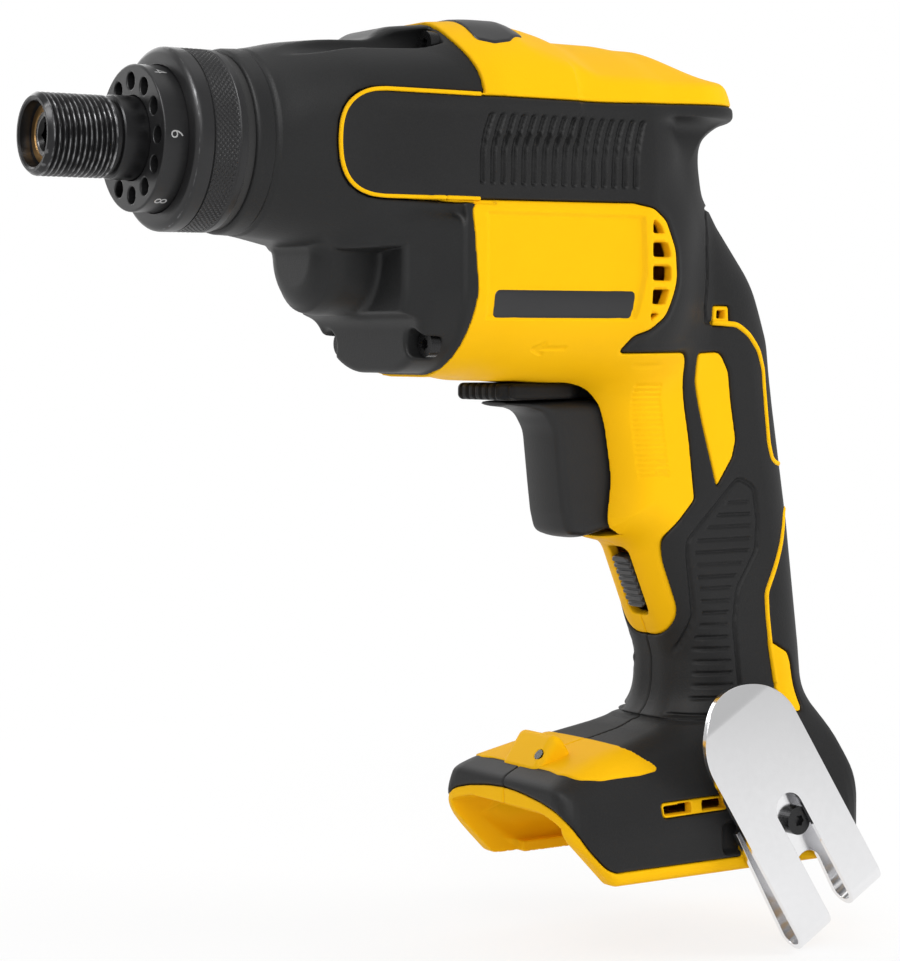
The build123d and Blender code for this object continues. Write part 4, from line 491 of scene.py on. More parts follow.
casting = space((50, -36, -67), (126, 36, 40))
x, y, z = casting
a = np.abs(y)
round_boss = np.hypot(y, z + MOTOR_DROP)
boss = rounded_corner(round_boss - BOSS_RADIUS, BOSS_FRONT - x, 8)
cheek_width = ease(((78, 16), (84, 22.5), (90, 27), (105, 31.4), (118, 32.6)), x, 2.5)
cheek_front = ease(((-66, 104.5), (-50, 102.5), (-47, 100), (-44, 84), (-15, 80)), z, 2.5)
cheek = smooth_max(rounded_corner(a - cheek_width, -63.2 - z, 24), z + 20.5, 3)
cheek = smooth_max(cheek, cheek_front - x, 2)
pocket = overlap(79 - x, x - 96.5, z + 28.6, -47.5 - z)
cheek = smooth_max(cheek, -pocket, 2)
tube = np.maximum(round_boss - 15.8, 82 - x)
flange = smooth_max(barrel(x, a, z) - FLANGE_PROUD, FLANGE_FRONT - x, 0.8)
lower = smooth_min(smooth_min(cheek, tube, 1.5), flange, 1.5)
gearcase = smooth_min(upper_body(x, a, z), hump(x, a, z), 5)
gearcase = smooth_min(smooth_min(gearcase, lower, 5), boss, 2)
gearcase = smooth_max(gearcase, SNOUT_FRONT - x, 1.5)
for screw_y, screw_z, head_x, room in CASE_SCREWS:
    recess = smooth_max(np.hypot(a - screw_y, z - screw_z) - room, x - head_x, 1)
    gearcase = smooth_max(gearcase, -recess, 1.2)
gearcase = gearcase + 0.45 * groove(np.abs(x - 59.4), 0.9)
lobe = flat_distance(LOBE, x, z)
gearcase = np.minimum(gearcase + LOBE_DEPTH, smooth_max(gearcase, 1.0 - lobe, 0.8))
gearcase = np.maximum(gearcase, x - ease(SEAM, z, 3) + 0.1)
for reach, bores in ((np.hypot(y, z), SPINDLE_BORES), (round_boss, MOTOR_BORES)):
    for radius, front, rear in bores:
        gearcase = cut(gearcase, reach - radius, front - x, x - rear)
black_casting = finish("black_casting", (0.009, 0.0092, 0.0095), (0.017, 0.0173, 0.0178), (0.4, 0.54), 1900,
                       0.05, shine=0.25)
moulded("gearcase_cover", gearcase, casting, 150000, black_casting, "tool_body", "black_casting", "gearcase")

# Nose sleeve: turned steel tube with an M22 x 1.5 thread, blackened, its crests worn bright.
# It screws on nothing here: depth stops and nosepieces go on its thread. The thread is cut as a helix.
THREAD_PITCH = 1.5
THREAD_DEPTH = 0.85
THREAD_END = 20.0


def edge_wear_group():
    """Shader group: a mask of the edges that stand out, broken up by noise."""
    tree, given = node_group("edge_wear", {"Low": "Float", "High": "Float"}, {"Mask": "Float"})
    worn = add_node(tree, "ShaderNodeAttribute", {}, "Fac", attribute_name="worn")
    place = object_place(tree)
    noise = add_node(tree, "ShaderNodeTexNoise", {"Vector": place, "Scale": 420.0, "Detail": 3.0})
    uneven = calculate(tree, "MULTIPLY_ADD", noise, 0.9, -0.45)
    both = calculate(tree, "ADD", worn, uneven)
    mask = add_node(tree, "ShaderNodeMapRange",
                    {"Value": both, "From Min": given["Low"], "From Max": given["High"]})
    feed(tree.nodes["Group Output"], {"Mask": mask})
    return tree


EDGE_WEAR = edge_wear_group()


def worn_finish(material, tone, low, high):
    """Adds bare metal to a material where the worn attribute is high."""
    wear = add_node(material.node_tree, "ShaderNodeGroup", {"Low": low, "High": high}, node_tree=EDGE_WEAR)
    return tinted(material, wear, tone)


def smooth_outward(mesh):
    """Turns a closed mesh's faces outward and shades them smooth."""
    builder = bmesh.new()
    builder.from_mesh(mesh)
    bmesh.ops.recalc_face_normals(builder, faces=builder.faces)
    builder.to_mesh(mesh)
    builder.free()
    mesh.shade_smooth()


def turned_piece(name, profile, segments, shape, worn):
    """Mesh of a closed (x, radius) profile turned round X, shape(x, r, angle) gives the final radius."""
    run = np.array(profile, np.float32)
    angle = np.linspace(0, 2 * np.pi, segments, endpoint=False, dtype=np.float32)
    along = np.repeat(run[:, :1], segments, axis=1)
    radius = shape(along, np.repeat(run[:, 1:], segments, axis=1), angle[None])
    points = np.stack((along, radius * np.cos(angle), radius * np.sin(angle)), 2).reshape(-1, 3)
    here = np.arange(len(run) * segments).reshape(len(run), segments)
    on = np.roll(here, -1, 0)
    faces = np.stack((here, np.roll(here, -1, 1), np.roll(on, -1, 1), on), 2).reshape(-1, 4)
    mesh = mesh_of(name, points, faces)
    layer = mesh.attributes.new("worn", "FLOAT", "POINT")
    layer.data.foreach_set("value", worn(along, radius, angle[None]).astype(np.float32).ravel())
    smooth_outward(mesh)
    mesh.set_sharp_from_angle(angle=math.radians(32))
    mesh.update()
    return mesh


def thread_share(along, angle):
    """0 at the thread's crest and 1 at its root, fading out at both ends."""
    phase = np.mod(along / THREAD_PITCH - angle / (2 * np.pi), 1.0)
    flank = np.clip(2.6 * np.abs(phase - 0.5) - 0.15, 0, 1)
    return flank * smooth_step(0.9, 2.4, along) * (1 - smooth_step(18.4, 19.6, along))


def threaded(along, radius, angle):
    """The nose's radius: only its outside, in front of the relief groove, is threaded."""
    outside = (radius > 10.3) & (along < THREAD_END)
    return radius - np.where(outside, THREAD_DEPTH * thread_share(along, angle), 0)


def thread_wear(along, radius, angle):
    """Crests and the front chamfer are worn."""
    outside = (along < THREAD_END) & (radius > 9.4)
    crest = 0.78 * (1 - thread_share(along, angle)) * (along > 1.2) + 0.55 * (along <= 1.2)
    return np.where(outside, crest, np.where(along > 27.8, 0.0, 0.06))


nose_profile = [(0.0, 9.2), (0.0, 9.9), (0.5, 10.4), (1.2, 10.95)]
nose_profile += [(place, 11.0) for place in np.arange(1.3, 19.7, 0.115)]
nose_profile += [(19.9, 10.6), (20.0, 10.2), (20.2, 10.0), (21.3, 10.0), (21.6, 10.9), (22.0, 11.2),
                 (24.0, 11.2), (28.0, 11.2), (28.6, 11.2), (39.2, 11.2), (39.3, 11.3), (39.3, 15.0),
                 (41.3, 15.0), (41.3, 7.8), (30.0, 7.8), (20.0, 7.8), (10.0, 7.8), (3.3, 7.8), (3.3, 8.6),
                 (0.4, 8.7)]
oxide_steel = finish("oxide_nose", (0.012, 0.012, 0.013), (0.022, 0.022, 0.023), (0.24, 0.36), 2300, 0.012,
                     0.6, TURNED)
worn_finish(oxide_steel, (0.42, 0.42, 0.43), 0.62, 1.1)
thread_mesh = turned_piece("nose_thread_sleeve", nose_profile, 144, threaded, thread_wear)
place_piece("nose_thread_sleeve", thread_mesh, oxide_steel, "tool_body", "black_oxide_steel", "nose_sleeve")

# Dial plate: black anodised disc on the nose, with twelve blind holes in its face and even numbers,
# engraved and filled with light paint, round its side. It is a field, its numbers are wrapped text.
DIAL_RADIUS = 19.7
DIAL_FRONT = 28.6
DIAL_REAR = 39.2
DIAL_HOLE_CIRCLE = 15.2
DIAL_HOLE_RADIUS = 2.3
DIAL_HOLE_FLOOR = 33.6
NUMBER_PLACE = 32.1
NUMBER_HEIGHT = 5.2
dial = space((28, -22.5, -22.5), (40, 22.5, 22.5), FINE_STEP)
x, y, z = dial
reach = np.hypot(y, z)
plate = rounded_corner(reach - DIAL_RADIUS, np.maximum(DIAL_FRONT - x, x - DIAL_REAR), 0.5)
plate = np.minimum(plate, overlap(reach - 21.7, 37.6 - x, x - DIAL_REAR))
for number in range(12):
    angle = math.radians(30 * number)
    hole_y, hole_z = DIAL_HOLE_CIRCLE * math.cos(angle), DIAL_HOLE_CIRCLE * math.sin(angle)
    hole = np.maximum(np.hypot(y - hole_y, z - hole_z) - DIAL_HOLE_RADIUS, x - DIAL_HOLE_FLOOR)
    plate = smooth_max(plate, -hole, 0.35)
plate = np.maximum(plate, 11.3 - reach)
anodised = finish("black_anodised", (0.016, 0.016, 0.017), (0.026, 0.026, 0.027), (0.3, 0.42), 2600, 0.012,
                  0.45, TURNED)
moulded("numbered_dial", plate, dial, 90000, anodised, "tool_body", "collar_aluminium", "dial_plate")


def wrapped_number(text, turn):
    """A number as thin raised paint on the dial's side, its top towards the tool, turn from -Y to +Z."""
    letters = bpy.data.curves.new("number_" + text, "FONT")
    letters.body = text
    letters.size = NUMBER_HEIGHT
    letters.align_x = "CENTER"
    letters.align_y = "CENTER"
    letters.extrude = 0.04
    letters.offset = -0.06
    mesh = baked(new_object("number_" + text, letters))
    for vertex in mesh.vertices:
        across, up, raised = vertex.co
        angle = math.radians(turn) - across / DIAL_RADIUS
        out = DIAL_RADIUS + raised
        vertex.co = Vector((NUMBER_PLACE + up, -out * math.cos(angle), out * math.sin(angle))) * MM
    return mesh


paint = finish("number_paint", (0.5, 0.5, 0.5), (0.36, 0.36, 0.36), (0.5, 0.6), 1800, 0.02)
number_builder = bmesh.new()
for count in range(6):
    wrapped = wrapped_number(str(2 * count + 2), 120 - 60 * count)
    number_builder.from_mesh(wrapped)
    bpy.data.meshes.remove(wrapped)
bmesh.ops.remove_doubles(number_builder, verts=number_builder.verts, dist=1e-6)
number_mesh = bpy.data.meshes.new("dial_numbers")
number_builder.to_mesh(number_mesh)
number_builder.free()
place_piece("dial_numbers", number_mesh, paint, "tool_body", "plain_label")

# Setting collar: black anodised ring that turns on the snout to set the clutch, with a diamond
# knurled band between two plain lands. The knurl is rolled into the ring.
COLLAR_RADIUS = 24.75
KNURL_COUNT = 96
KNURL_SLANT = 1.15
KNURL_DEPTH = 0.32


def knurled(along, radius, angle):
    """The collar's radius with the rolled diamonds of its band."""
    lead = along * (KNURL_COUNT / COLLAR_RADIUS)
    first = np.abs(np.mod(angle * KNURL_COUNT + lead * KNURL_SLANT, 2 * np.pi) / np.pi - 1)
    second = np.abs(np.mod(angle * KNURL_COUNT - lead * KNURL_SLANT, 2 * np.pi) / np.pi - 1)
    band = smooth_step(41.1, 41.5, along) * (1 - smooth_step(48.1, 48.5, along)) * (radius > 24)
    return radius - band * KNURL_DEPTH * np.maximum(1 - first, 1 - second) ** 1.5


def collar_wear(along, radius, angle):
    """Its front and rear edges are worn a little bright."""
    front = np.exp(-((along - 36.6) / 0.45) ** 2) * (radius > 23.2)
    rear = np.exp(-((along - 50.9) / 0.25) ** 2) * (radius > 24.2)
    return 0.62 * np.maximum(front, rear)


collar_step, collar_segments = ((0.2, 960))
collar_profile = [(35.7, 20.0), (35.7, 21.0), (35.7, 23.0), (35.8, 23.4), (36.1, 23.9), (36.5, 24.35),
                  (37.0, 24.65), (37.6, COLLAR_RADIUS), (40.6, COLLAR_RADIUS), (40.9, 24.5), (41.1, 24.45),
                  (41.2, 24.7)]
collar_profile += [(place, COLLAR_RADIUS) for place in np.arange(41.3, 48.4, collar_step)]
collar_profile += [(48.5, 24.7), (48.6, 24.45), (48.8, 24.5), (49.0, 24.7), (50.6, 24.7), (50.9, 24.6),
                   (51.1, 24.3), (51.1, 22.5), (51.1, 20.6), (45.0, 20.6), (39.5, 20.6), (39.5, 22.0),
                   (37.5, 22.0), (37.5, 20.0)]
collar_metal = finish("collar_anodised", (0.018, 0.018, 0.019), (0.028, 0.028, 0.029), (0.3, 0.44), 2600,
                      0.012, 0.45, TURNED)
worn_finish(collar_metal, (0.34, 0.34, 0.35), 0.55, 1.2)
collar_mesh = turned_piece("knurled_collar", collar_profile, collar_segments, knurled, collar_wear)
place_piece("knurled_collar", collar_mesh, collar_metal, "collar_body", "collar_aluminium", "clutch_collar")
seal_rubber = finish("seal_rubber", (0.012, 0.012, 0.012), (0.02, 0.02, 0.02), (0.45, 0.6), 1500, 0.02)
dress(seal_rubber, "collar_seal")

# Housing halves: two glass-filled nylon mouldings in yellow, screwed together at the middle plane.
# Each half is a shell: it shows at the cap, the side panel, the trigger surround and the foot's rails,
# and lies lower where the rubber covers it. The outer form is one distance field for both materials.
GRIP = [
    (150, 12, 1), (216, 12, 3), (211.3, 1, 14), (213.5, -9, 14), (219.5, -18.5, 16), (233, -35.5, 40),
    (240.5, -54, 30), (243.6, -70, 30), (249.5, -109, 60), (254, -148, 60), (256, -170, 20), (255, -195, 1),
    (200, -195, 1), (204, -172, 20), (204.5, -150, 14), (202.5, -144, 8), (190.5, -115.5, 8),
    (182, -113.5, 3), (178, -111, 3), (176.7, -107, 6), (178.1, -95, 30), (175.5, -80.4, 20),
    (171.4, -67, 8), (165, -60, 1), (150, -60, 1),
]
FOOT_SIDE = [
    (148.5, -195, 1), (148.5, -183.6, 3), (155, -180.4, 10), (168, -176.8, 20), (196, -171, 20),
    (258, -171, 10), (262, -190, 10), (262, -212, 2), (165, -212, 4),
]
FOOT_PLAN = [(148.5, -60, 0.1), (148.5, 35, 10), (262, 35, 12), (262, -60, 0.1)]
PANEL = [
    (90, -15.3, 0.5), (172, -14.6, 4), (178.4, -15.9, 6), (183.1, -19.2, 6), (187.2, -27.8, 10),
    (188, -36.4, 12), (184.6, -45.2, 8), (183.5, -47.5, 6), (179, -51, 6), (174.0, -52.8, 4),
    (171.6, -56.9, 0.6), (172.8, -57.6, 0.6), (200.7, -57.4, 5), (202.2, -68.8, 20), (204.6, -83.8, 20),
    (206.6, -101.8, 3), (195.3, -113.4, 5), (194, -120, 1), (90, -120, 1),
]
INSERT = [
    (206.4, -57.8, 1.5), (215.5, -57.3, 4), (219.4, -63.5, 5), (222.6, -84.1, 6), (221.2, -89.5, 5),
    (215.0, -98.3, 0.6), (209.6, -79, 8), (206.4, -66, 6),
]
UPPER_PIPING = ((211.5, -48.6), (221, -49.2), (226, -52.2), (230.6, -57), (233.4, -63), (234.5, -72.2),
                (235.6, -85.4), (237.2, -90.5), (241, -92.0), (249, -92.0))
LOWER_PIPING = ((250, -105.5), (243.6, -106.5), (240.5, -116), (236.9, -124.5), (233.8, -131.2),
                (234.2, -138.3), (235.4, -148), (237.6, -160))
STRAP_SEAM = ((224, -14), (210.5, -14.6), (208.6, -17), (207.7, -26.9), (208.2, -35), (207.2, -44),
              (208.2, -48.4), (212, -48.8))
GRIP_PANEL = [
    (223, -95.6, 3), (229.2, -98.5, 4), (230.8, -108.8, 8), (230.1, -117.9, 6), (222.6, -129.5, 8),
    (221.2, -140, 12), (223.3, -160.5, 6), (223.8, -167.2, 1), (186, -167.2, 1), (186, -160.5, 4),
    (197.2, -157.4, 6), (205.4, -147.5, 8), (207.3, -137.0, 10), (204.2, -121.0, 8), (203.4, -114.0, 5),
]
SQUARE = [(211.6, -43.6, 0.8), (217.6, -43.6, 0.8), (218.4, -49.6, 0.5), (211.6, -49.6, 0.5)]
PATCH = [(234.6, -145.5, 0.5), (242.8, -150.0, 2), (244.2, -153, 2), (247.2, -168.5, 2), (238.6, -168.5, 1)]
FIELD_RECESS = [(121, -17.8, 1.5), (175.6, -17.8, 1.5), (176.2, -34, 8), (173.5, -48.6, 1.5),
                (121, -48.6, 1.5)]
FOOT_SLOT = [(182.5, -189.3, 1.4), (207, -188.9, 1.4), (207, -193.3, 1.4), (182.5, -193.7, 1.4)]
ARROW_SHAFT = ((140.5, -56.4), (151.5, -56.1))
ARROW_HEAD = ((144.2, -54.9), (140.5, -56.4), (144.2, -57.8))
HOOK_POCKET = [(203.4, -196.4, 3), (212.6, -195.4, 3), (213.2, -207, 3), (203.8, -207, 3)]
HOOK_FOOT = [(212.5, -203, 2), (218, -201.5, 2), (220, -213, 1), (210, -213, 1)]
HOOK_SCREW = (229.03, -197.78)
SCREW_POINTS = ((132, 20), (178, 20), (205, 12), (222, -46), (212, -124), (208, -152), (246, -186),
                (164, -188))
SLIDER_CENTRE = np.array((195.58, -127.03))
SLIDER_UP = np.array((-0.4033, 0.9151))
SLIDER_OUT = np.array((-0.9151, -0.4033))
SLOT_HALF_WIDTH = 10.6
BAY_HALF_WIDTH = 28.5
BAY_REAR = 236.5
WALL = 3.3
YELLOW_UNDER_RUBBER = 2.2
RUBBER_DEPTH = 2.0
RUBBER_PROUD = 0.35
HALF_GAP = 0.05
SHELL_TRIANGLES = 190000
VENT_MIDDLE = (181.6, -34.6)
VENT_HALF_SIZE = (3.3, 2.1)
VENT_PITCH = 6.8
FIELD_DEPTH = 0.8
COLUMN_DEPTH = 1.1
RIB_PITCH = 3.475
RIB_DEPTH = 1.2
LAST_RIB = 15
EMBOSS_TOP = -67.4
EMBOSS_PITCH = 1.5
EMBOSS_DEPTH = 0.35
LAST_EMBOSS = 18
ARROW_DEPTH = 0.4
STRAP_DEPTH = 0.9
NOTCH_TOP = -103.0
NOTCH_PITCH = 3.7
NOTCH_DEPTH = 0.7
LAST_NOTCH = 16
POCKET_DEPTH = 2.6
SLOT_FRONT = 146
SLOT_REAR = 194
SLOT_TOP = -66.3
BAY_TOP = -197
RAIL_TOP = -208.5
SCREW_HOLE_RADIUS = 3.3


def slider_axes(x, z):
    """Places along the slide lock's travel and out of its face."""
    right, up = x - SLIDER_CENTRE[0], z - SLIDER_CENTRE[1]
    return [right * way[0] + up * way[1] for way in (SLIDER_UP, SLIDER_OUT)]


def even_lines(place, pitch, last, half_width):
    """Evenly spaced grooves, from number 0 at place 0 to the last number."""
    number = np.clip(np.round(place / pitch), 0, last)
    return groove(np.abs(place - number * pitch), half_width)


def upper_housing(x, a, z):
    """Cap with its deck, and the upper body in front of the neck."""
    body = upper_body(x, a, z)
    crown = ease(((195, 9.5), (212, 3)), x, 4)
    deck = z + crown * (a / 25) ** 1.5 - ease(
        ((130, 44), (136, 40.2), (141, 37.8), (155, 35), (162, 32.7), (195, 32.6), (199, 31), (206, 27.5),
         (212.6, 24.5), (221.5, 22.5)), x, 4)
    whole = smooth_min(body, hump(x, a, z), 5)
    whole = smooth_max(whole, deck, 1.5)
    cap = smooth_max(whole, 11.5 - z, 2)
    front = smooth_max(whole, x - 188, 12)
    return smooth_min(cap, front, 3)


def grip_form(x, a, z):
    """Handle and neck: one outline that is rounded over to a width that changes with height."""
    share = smooth_step(-75, -38, z)
    handle_width = ease(((-195, 19.5), (-150, 19), (-70, 17.5), (-40, 17.5)), z, 10)
    neck_width = ease(((150, 17), (178, 31.5), (211, 20), (264, 20)), x, 3)
    width = handle_width * (1 - share) + neck_width * share
    return rounded_corner(flat_distance(GRIP, x, z), a - width, 15)


def foot_form(x, a, z):
    """Battery foot: a side profile, a plan with round corners and a sloped shoulder."""
    shoulder = 0.78 * (a - 35) + 0.62 * (z + 190)
    foot = smooth_max(flat_distance(FOOT_SIDE, x, z), flat_distance(FOOT_PLAN, x, a), 3)
    foot = smooth_max(foot, shoulder, 6)
    pad = rounded_corner(np.hypot(x - HOOK_SCREW[0], z - HOOK_SCREW[1]) - 7, a - 36.3, 1)
    return smooth_min(foot, pad, 1)


half = space((73, -1, -214), (263.5, 38, 39))
x, y, z = half
a = np.abs(y)
lobe = flat_distance(LOBE, x, z)
panel = flat_distance(PANEL, x, z)
motor = rounded_corner(barrel(x, a, z), x - 200, 16)
upper = upper_housing(x, a, z)
form = smooth_min(upper, motor, 4)
raised_panel = smooth_max(motor - 1.2, panel, 2.5)
form = smooth_min(form, raised_panel, 1.5)
form = smooth_min(form, grip_form(x, a, z), 10)
form = smooth_min(form, foot_form(x, a, z), 14)
before_seam = ease(SEAM, z, 3) - x
lobe_form = smooth_min(upper, np.maximum(motor, 105 - x), 4)
form = np.where(lobe < 1.0, lobe_form, np.maximum(form, before_seam))
form = np.maximum(form, np.minimum(before_seam, lobe - 0.9))

# Moulded detail of the outer form: the panel's sunk field and vent column, grooves and fine lines.
sunk = flat_distance(FIELD_RECESS, x, z)
side = smooth_step(9, 12, a)
form = form + FIELD_DEPTH * (1 - smooth_step(-1.6, 0, sunk)) * smooth_step(28, 30, a)
vent_rows = VENT_MIDDLE[1] + VENT_PITCH * np.arange(-2, 3)
between = np.min([np.abs(z - row - VENT_PITCH / 2) for row in vent_rows[:-1]], axis=0)
column = np.maximum(panel + 3.2, 177.4 - x)
column_depth = COLUMN_DEPTH * (1 - smooth_step(-1.2, 0, column)) * smooth_step(24, 26, a)
form = form + column_depth * smooth_step(0.7, 1.4, between)
rib_place = x - 120.5 - 2.6 * np.clip((z + 5) / 13, 0, 2) ** 2
ribs = even_lines(rib_place, RIB_PITCH, LAST_RIB, 1.05)
form = form + (RIB_DEPTH * ribs * smooth_step(-11, -10, z) * (1 - smooth_step(8.3, 9.3, z))
               * smooth_step(20, 24, a))
emboss = even_lines(EMBOSS_TOP - z, EMBOSS_PITCH, LAST_EMBOSS, 0.6)
emboss_place = x - 182.6 + 0.148 * (z - EMBOSS_TOP)
emboss = emboss * smooth_step(-0.5, 0.3, emboss_place) * (1 - smooth_step(9.8, 10.6, emboss_place))
form = form + EMBOSS_DEPTH * emboss * side
arrow = np.minimum(path_distance(ARROW_SHAFT, x, z), path_distance(ARROW_HEAD, x, z))
form = form + ARROW_DEPTH * groove(arrow, 0.7) * side
strap = path_distance(STRAP_SEAM, x, z)
form = form + STRAP_DEPTH * groove(strap, 0.8) * side
grip_panel = flat_distance(GRIP_PANEL, x, z)
form = form + (0.8 * groove(np.abs(grip_panel), 0.85) + 0.2 * (1 - smooth_step(-0.6, 0.4, grip_panel))) * side
notches = even_lines(NOTCH_TOP - z, NOTCH_PITCH, LAST_NOTCH, 0.7)
form = form + NOTCH_DEPTH * notches * (1 - smooth_step(-3.0, -2.2, grip_panel)) * smooth_step(14, 16, a)
form = form + 0.6 * groove(np.abs(z + 168.6), 0.7) * (1 - smooth_step(232, 236, x)) * (x > 196)
pocket = flat_distance(HOOK_POCKET, x, z)
form = form + POCKET_DEPTH * (1 - smooth_step(-1.8, 0, pocket)) * smooth_step(29, 31, a)

# Openings: trigger slot, slide lock window, battery bay with its rails, vents and foot slot.
slot_floor = -112.95 + 0.21 * np.maximum(x - 178.5, 0)
slot = overlap(SLOT_FRONT - x, x - SLOT_REAR, slot_floor - z, z - SLOT_TOP, a - SLOT_HALF_WIDTH)
along, out = slider_axes(x, z)
window = np.maximum(rounded_corner(a - 4.6, np.abs(along - 0.4) - 11.8, 2.2), -out - 8)
bay_side = a - BAY_HALF_WIDTH
mouth_arch = ease(((0, 6.6), (9, 6.0), (19, 4.6), (26.4, 2.8), (32, 0), (36, 0)), a, 3)
bay = union(
    overlap(x - BAY_REAR, bay_side, z - BAY_TOP, RAIL_TOP - z),
    overlap(x - BAY_REAR, a - 25, z + 200),
    overlap(x - 174, bay_side, z - BAY_TOP),
    overlap(x - 167.5, bay_side, z + np.maximum(195.6 - mouth_arch, 190.8)),
)
terminals = overlap(205 - x, x - 232, a - 16, z + 192, -199 - z)
openings = union(slot, window, bay, terminals)
vent_holes = [rounded_corner(np.abs(x - VENT_MIDDLE[0]) - VENT_HALF_SIZE[0],
                             np.abs(z - row) - VENT_HALF_SIZE[1], 1.0) for row in vent_rows]
vents = overlap(union(*vent_holes), panel + 2.6, 12 - a)
foot_slot = flat_distance(FOOT_SLOT, x, z)
slot_bar = 2.0 - np.abs(x - 195.5 - 0.15 * (z + 191))
slot_hole = overlap(foot_slot + 0.8, slot_bar, 27 - a)
square_hole = overlap(np.abs(x - 214.8) - 1.5, np.abs(z + 46.2) - 1.2, 10 - a)

# Where the yellow shows: cap, side panel with the trigger surround, tongue, insert and the lower edge
# of the foot. The distances are negative inside the yellow.
cap_line = ease(((60, 13.4), (161, 13.5), (197, 14.7), (221, 15.5)), x)
tongue = overlap(rounded_corner(a - 13.7, -143.5 - z, 11), z + 110, x - 214)
foot_edge = ease(((148.4, -192), (150.7, -192.8), (152.9, -196.1), (155.8, -200.1), (159.2, -203.6),
                  (162, -206.2), (165.1, -207.7), (168, -207.6), (262, -207.6)), x, 1.5)
foot_line = z - foot_edge - mouth_arch * (1 - smooth_step(150, 158, x))
hook_pad = np.hypot(x - HOOK_SCREW[0], z - HOOK_SCREW[1]) - 8.6
grip_patches = union(*[flat_distance(outline, x, z) for outline in (INSERT, SQUARE, PATCH)])
foot_patches = union(hook_pad, flat_distance(HOOK_FOOT, x, z), foot_slot)
bay_wall = overlap(a - 30, z + 190, x - 200, form + 1.2)
shows = union(cap_line - z, smooth_min(panel, tongue, 4), np.maximum(grip_patches, 8 - a),
              np.maximum(foot_patches, 26 - a), foot_line, bay_wall)
yellow = np.minimum(form + YELLOW_UNDER_RUBBER, smooth_max(form, shows + 0.08, 0.8))
yellow = cut(yellow, form + WALL, np.where(x < 171, -186.5, -193.5) - z)
yellow = cut(yellow, union(openings, vents, slot_hole))
yellow = smooth_max(yellow, -square_hole, 0.6)
yellow = smooth_max(yellow, HALF_GAP - y, 0.5)
rubber = smooth_max(form - RUBBER_PROUD, 0.06 - shows, 1.2)
rubber = cut(cut(rubber, form + RUBBER_DEPTH), openings)
rubber = smooth_max(rubber, HALF_GAP - y, 0.5)
screw_holes = [np.hypot(x - screw_x, z - screw_z) - SCREW_HOLE_RADIUS for screw_x, screw_z in SCREW_POINTS]
screw_room = np.maximum(union(*screw_holes), 12 - a)

yellow_housing = finish("yellow_housing", (0.87, 0.465, 0.003), (0.91, 0.5, 0.004), (0.45, 0.56), 1700, 0.035,
                        shine=0.06)
for hand, field in (("left", yellow), ("right", cut(yellow, screw_room))):
    moulded(hand + "_shell", field, half, SHELL_TRIANGLES, yellow_housing, "tool_body", "yellow_housing",
            hand + "_housing", mirror=hand == "left")

# Beads: thin yellow ribs of each half that come up through the rubber, round the lobe and along the
# handle's back. Each is a round bead laid on the housing's form.
BEAD_SIDES = 10
BEAD_STEP = 0.7
FORM_REACH = 37.5
HALVINGS = 18


def on_form(u, v):
    """How far from the middle plane the housing's form lies at places (u, v), found by halving."""
    near = np.zeros_like(u)
    far = np.full_like(u, FORM_REACH)
    for _ in range(HALVINGS):
        middle = (near + far) / 2
        inside = sample(form, half, np.stack((u, middle, v), 1)) < 0
        near = np.where(inside, middle, near)
        far = np.where(inside, far, middle)
    return near


def bead(name, line, radius, side):
    """Mesh of a round bead along a line of (x, z) points on one side of the tool."""
    line = np.array(line)
    gone = np.concatenate(([0], np.cumsum(np.hypot(*np.diff(line, axis=0).T))))
    even = np.arange(0, gone[-1], BEAD_STEP)
    window = np.hanning(9)[1:-1]
    window /= window.sum()
    u, v = [np.convolve(np.pad(np.interp(even, gone, run), 3, "edge"), window, "valid") for run in line.T]
    out_by = np.convolve(np.pad(on_form(u, v), 3, "edge"), window, "valid") + 0.1
    centre = np.stack((u, out_by, v), 1)
    along = np.gradient(centre, axis=0)
    along /= np.linalg.norm(along, axis=1, keepdims=True)
    out = slope(form, half, centre, 1.0)
    out -= along * np.sum(out * along, 1, keepdims=True)
    out /= np.maximum(np.linalg.norm(out, axis=1, keepdims=True), 1e-6)
    across = np.cross(along, out)
    angle = np.linspace(0, 2 * np.pi, BEAD_SIDES, endpoint=False)[None, :, None]
    rings = centre[:, None] + radius * (np.cos(angle) * out[:, None] + np.sin(angle) * across[:, None])
    points = np.concatenate((rings.reshape(-1, 3), centre[[0, -1]])) * (1, side, 1)
    number = np.arange(len(even) * BEAD_SIDES).reshape(-1, BEAD_SIDES)
    here, on = number[:-1], number[1:]
    turned_here, turned_on = np.roll(here, -1, 1), np.roll(on, -1, 1)
    first, last = number[0], number[-1]
    halves = ((here, turned_here, turned_on), (here, turned_on, on))
    faces = [np.stack(corners, 2).reshape(-1, 3) for corners in halves]
    faces.append(np.stack((np.roll(first, -1), first, np.full(BEAD_SIDES, len(points) - 2)), 1))
    faces.append(np.stack((last, np.roll(last, -1), np.full(BEAD_SIDES, len(points) - 1)), 1))
    mesh = mesh_of(name, points, np.concatenate(faces))
    smooth_outward(mesh)
    return mesh


LOBE_LINE = rounded([(120, -14.85, 0), (76.15, -14.85, 12.9), (76.15, 13.85, 12.9), (120, 13.85, 0)])
BEADS = (("lobe", LOBE_LINE, 0.6), ("neck", UPPER_PIPING, 0.85), ("grip", LOWER_PIPING, 0.85))
for hand, side in (("left", -1), ("right", 1)):
    for place, line, radius in BEADS:
        strip = bead(hand + "_" + place + "_bead", line, radius, side)
        place_piece(strip.name, strip, yellow_housing, "tool_body", "yellow_housing", hand + "_housing")

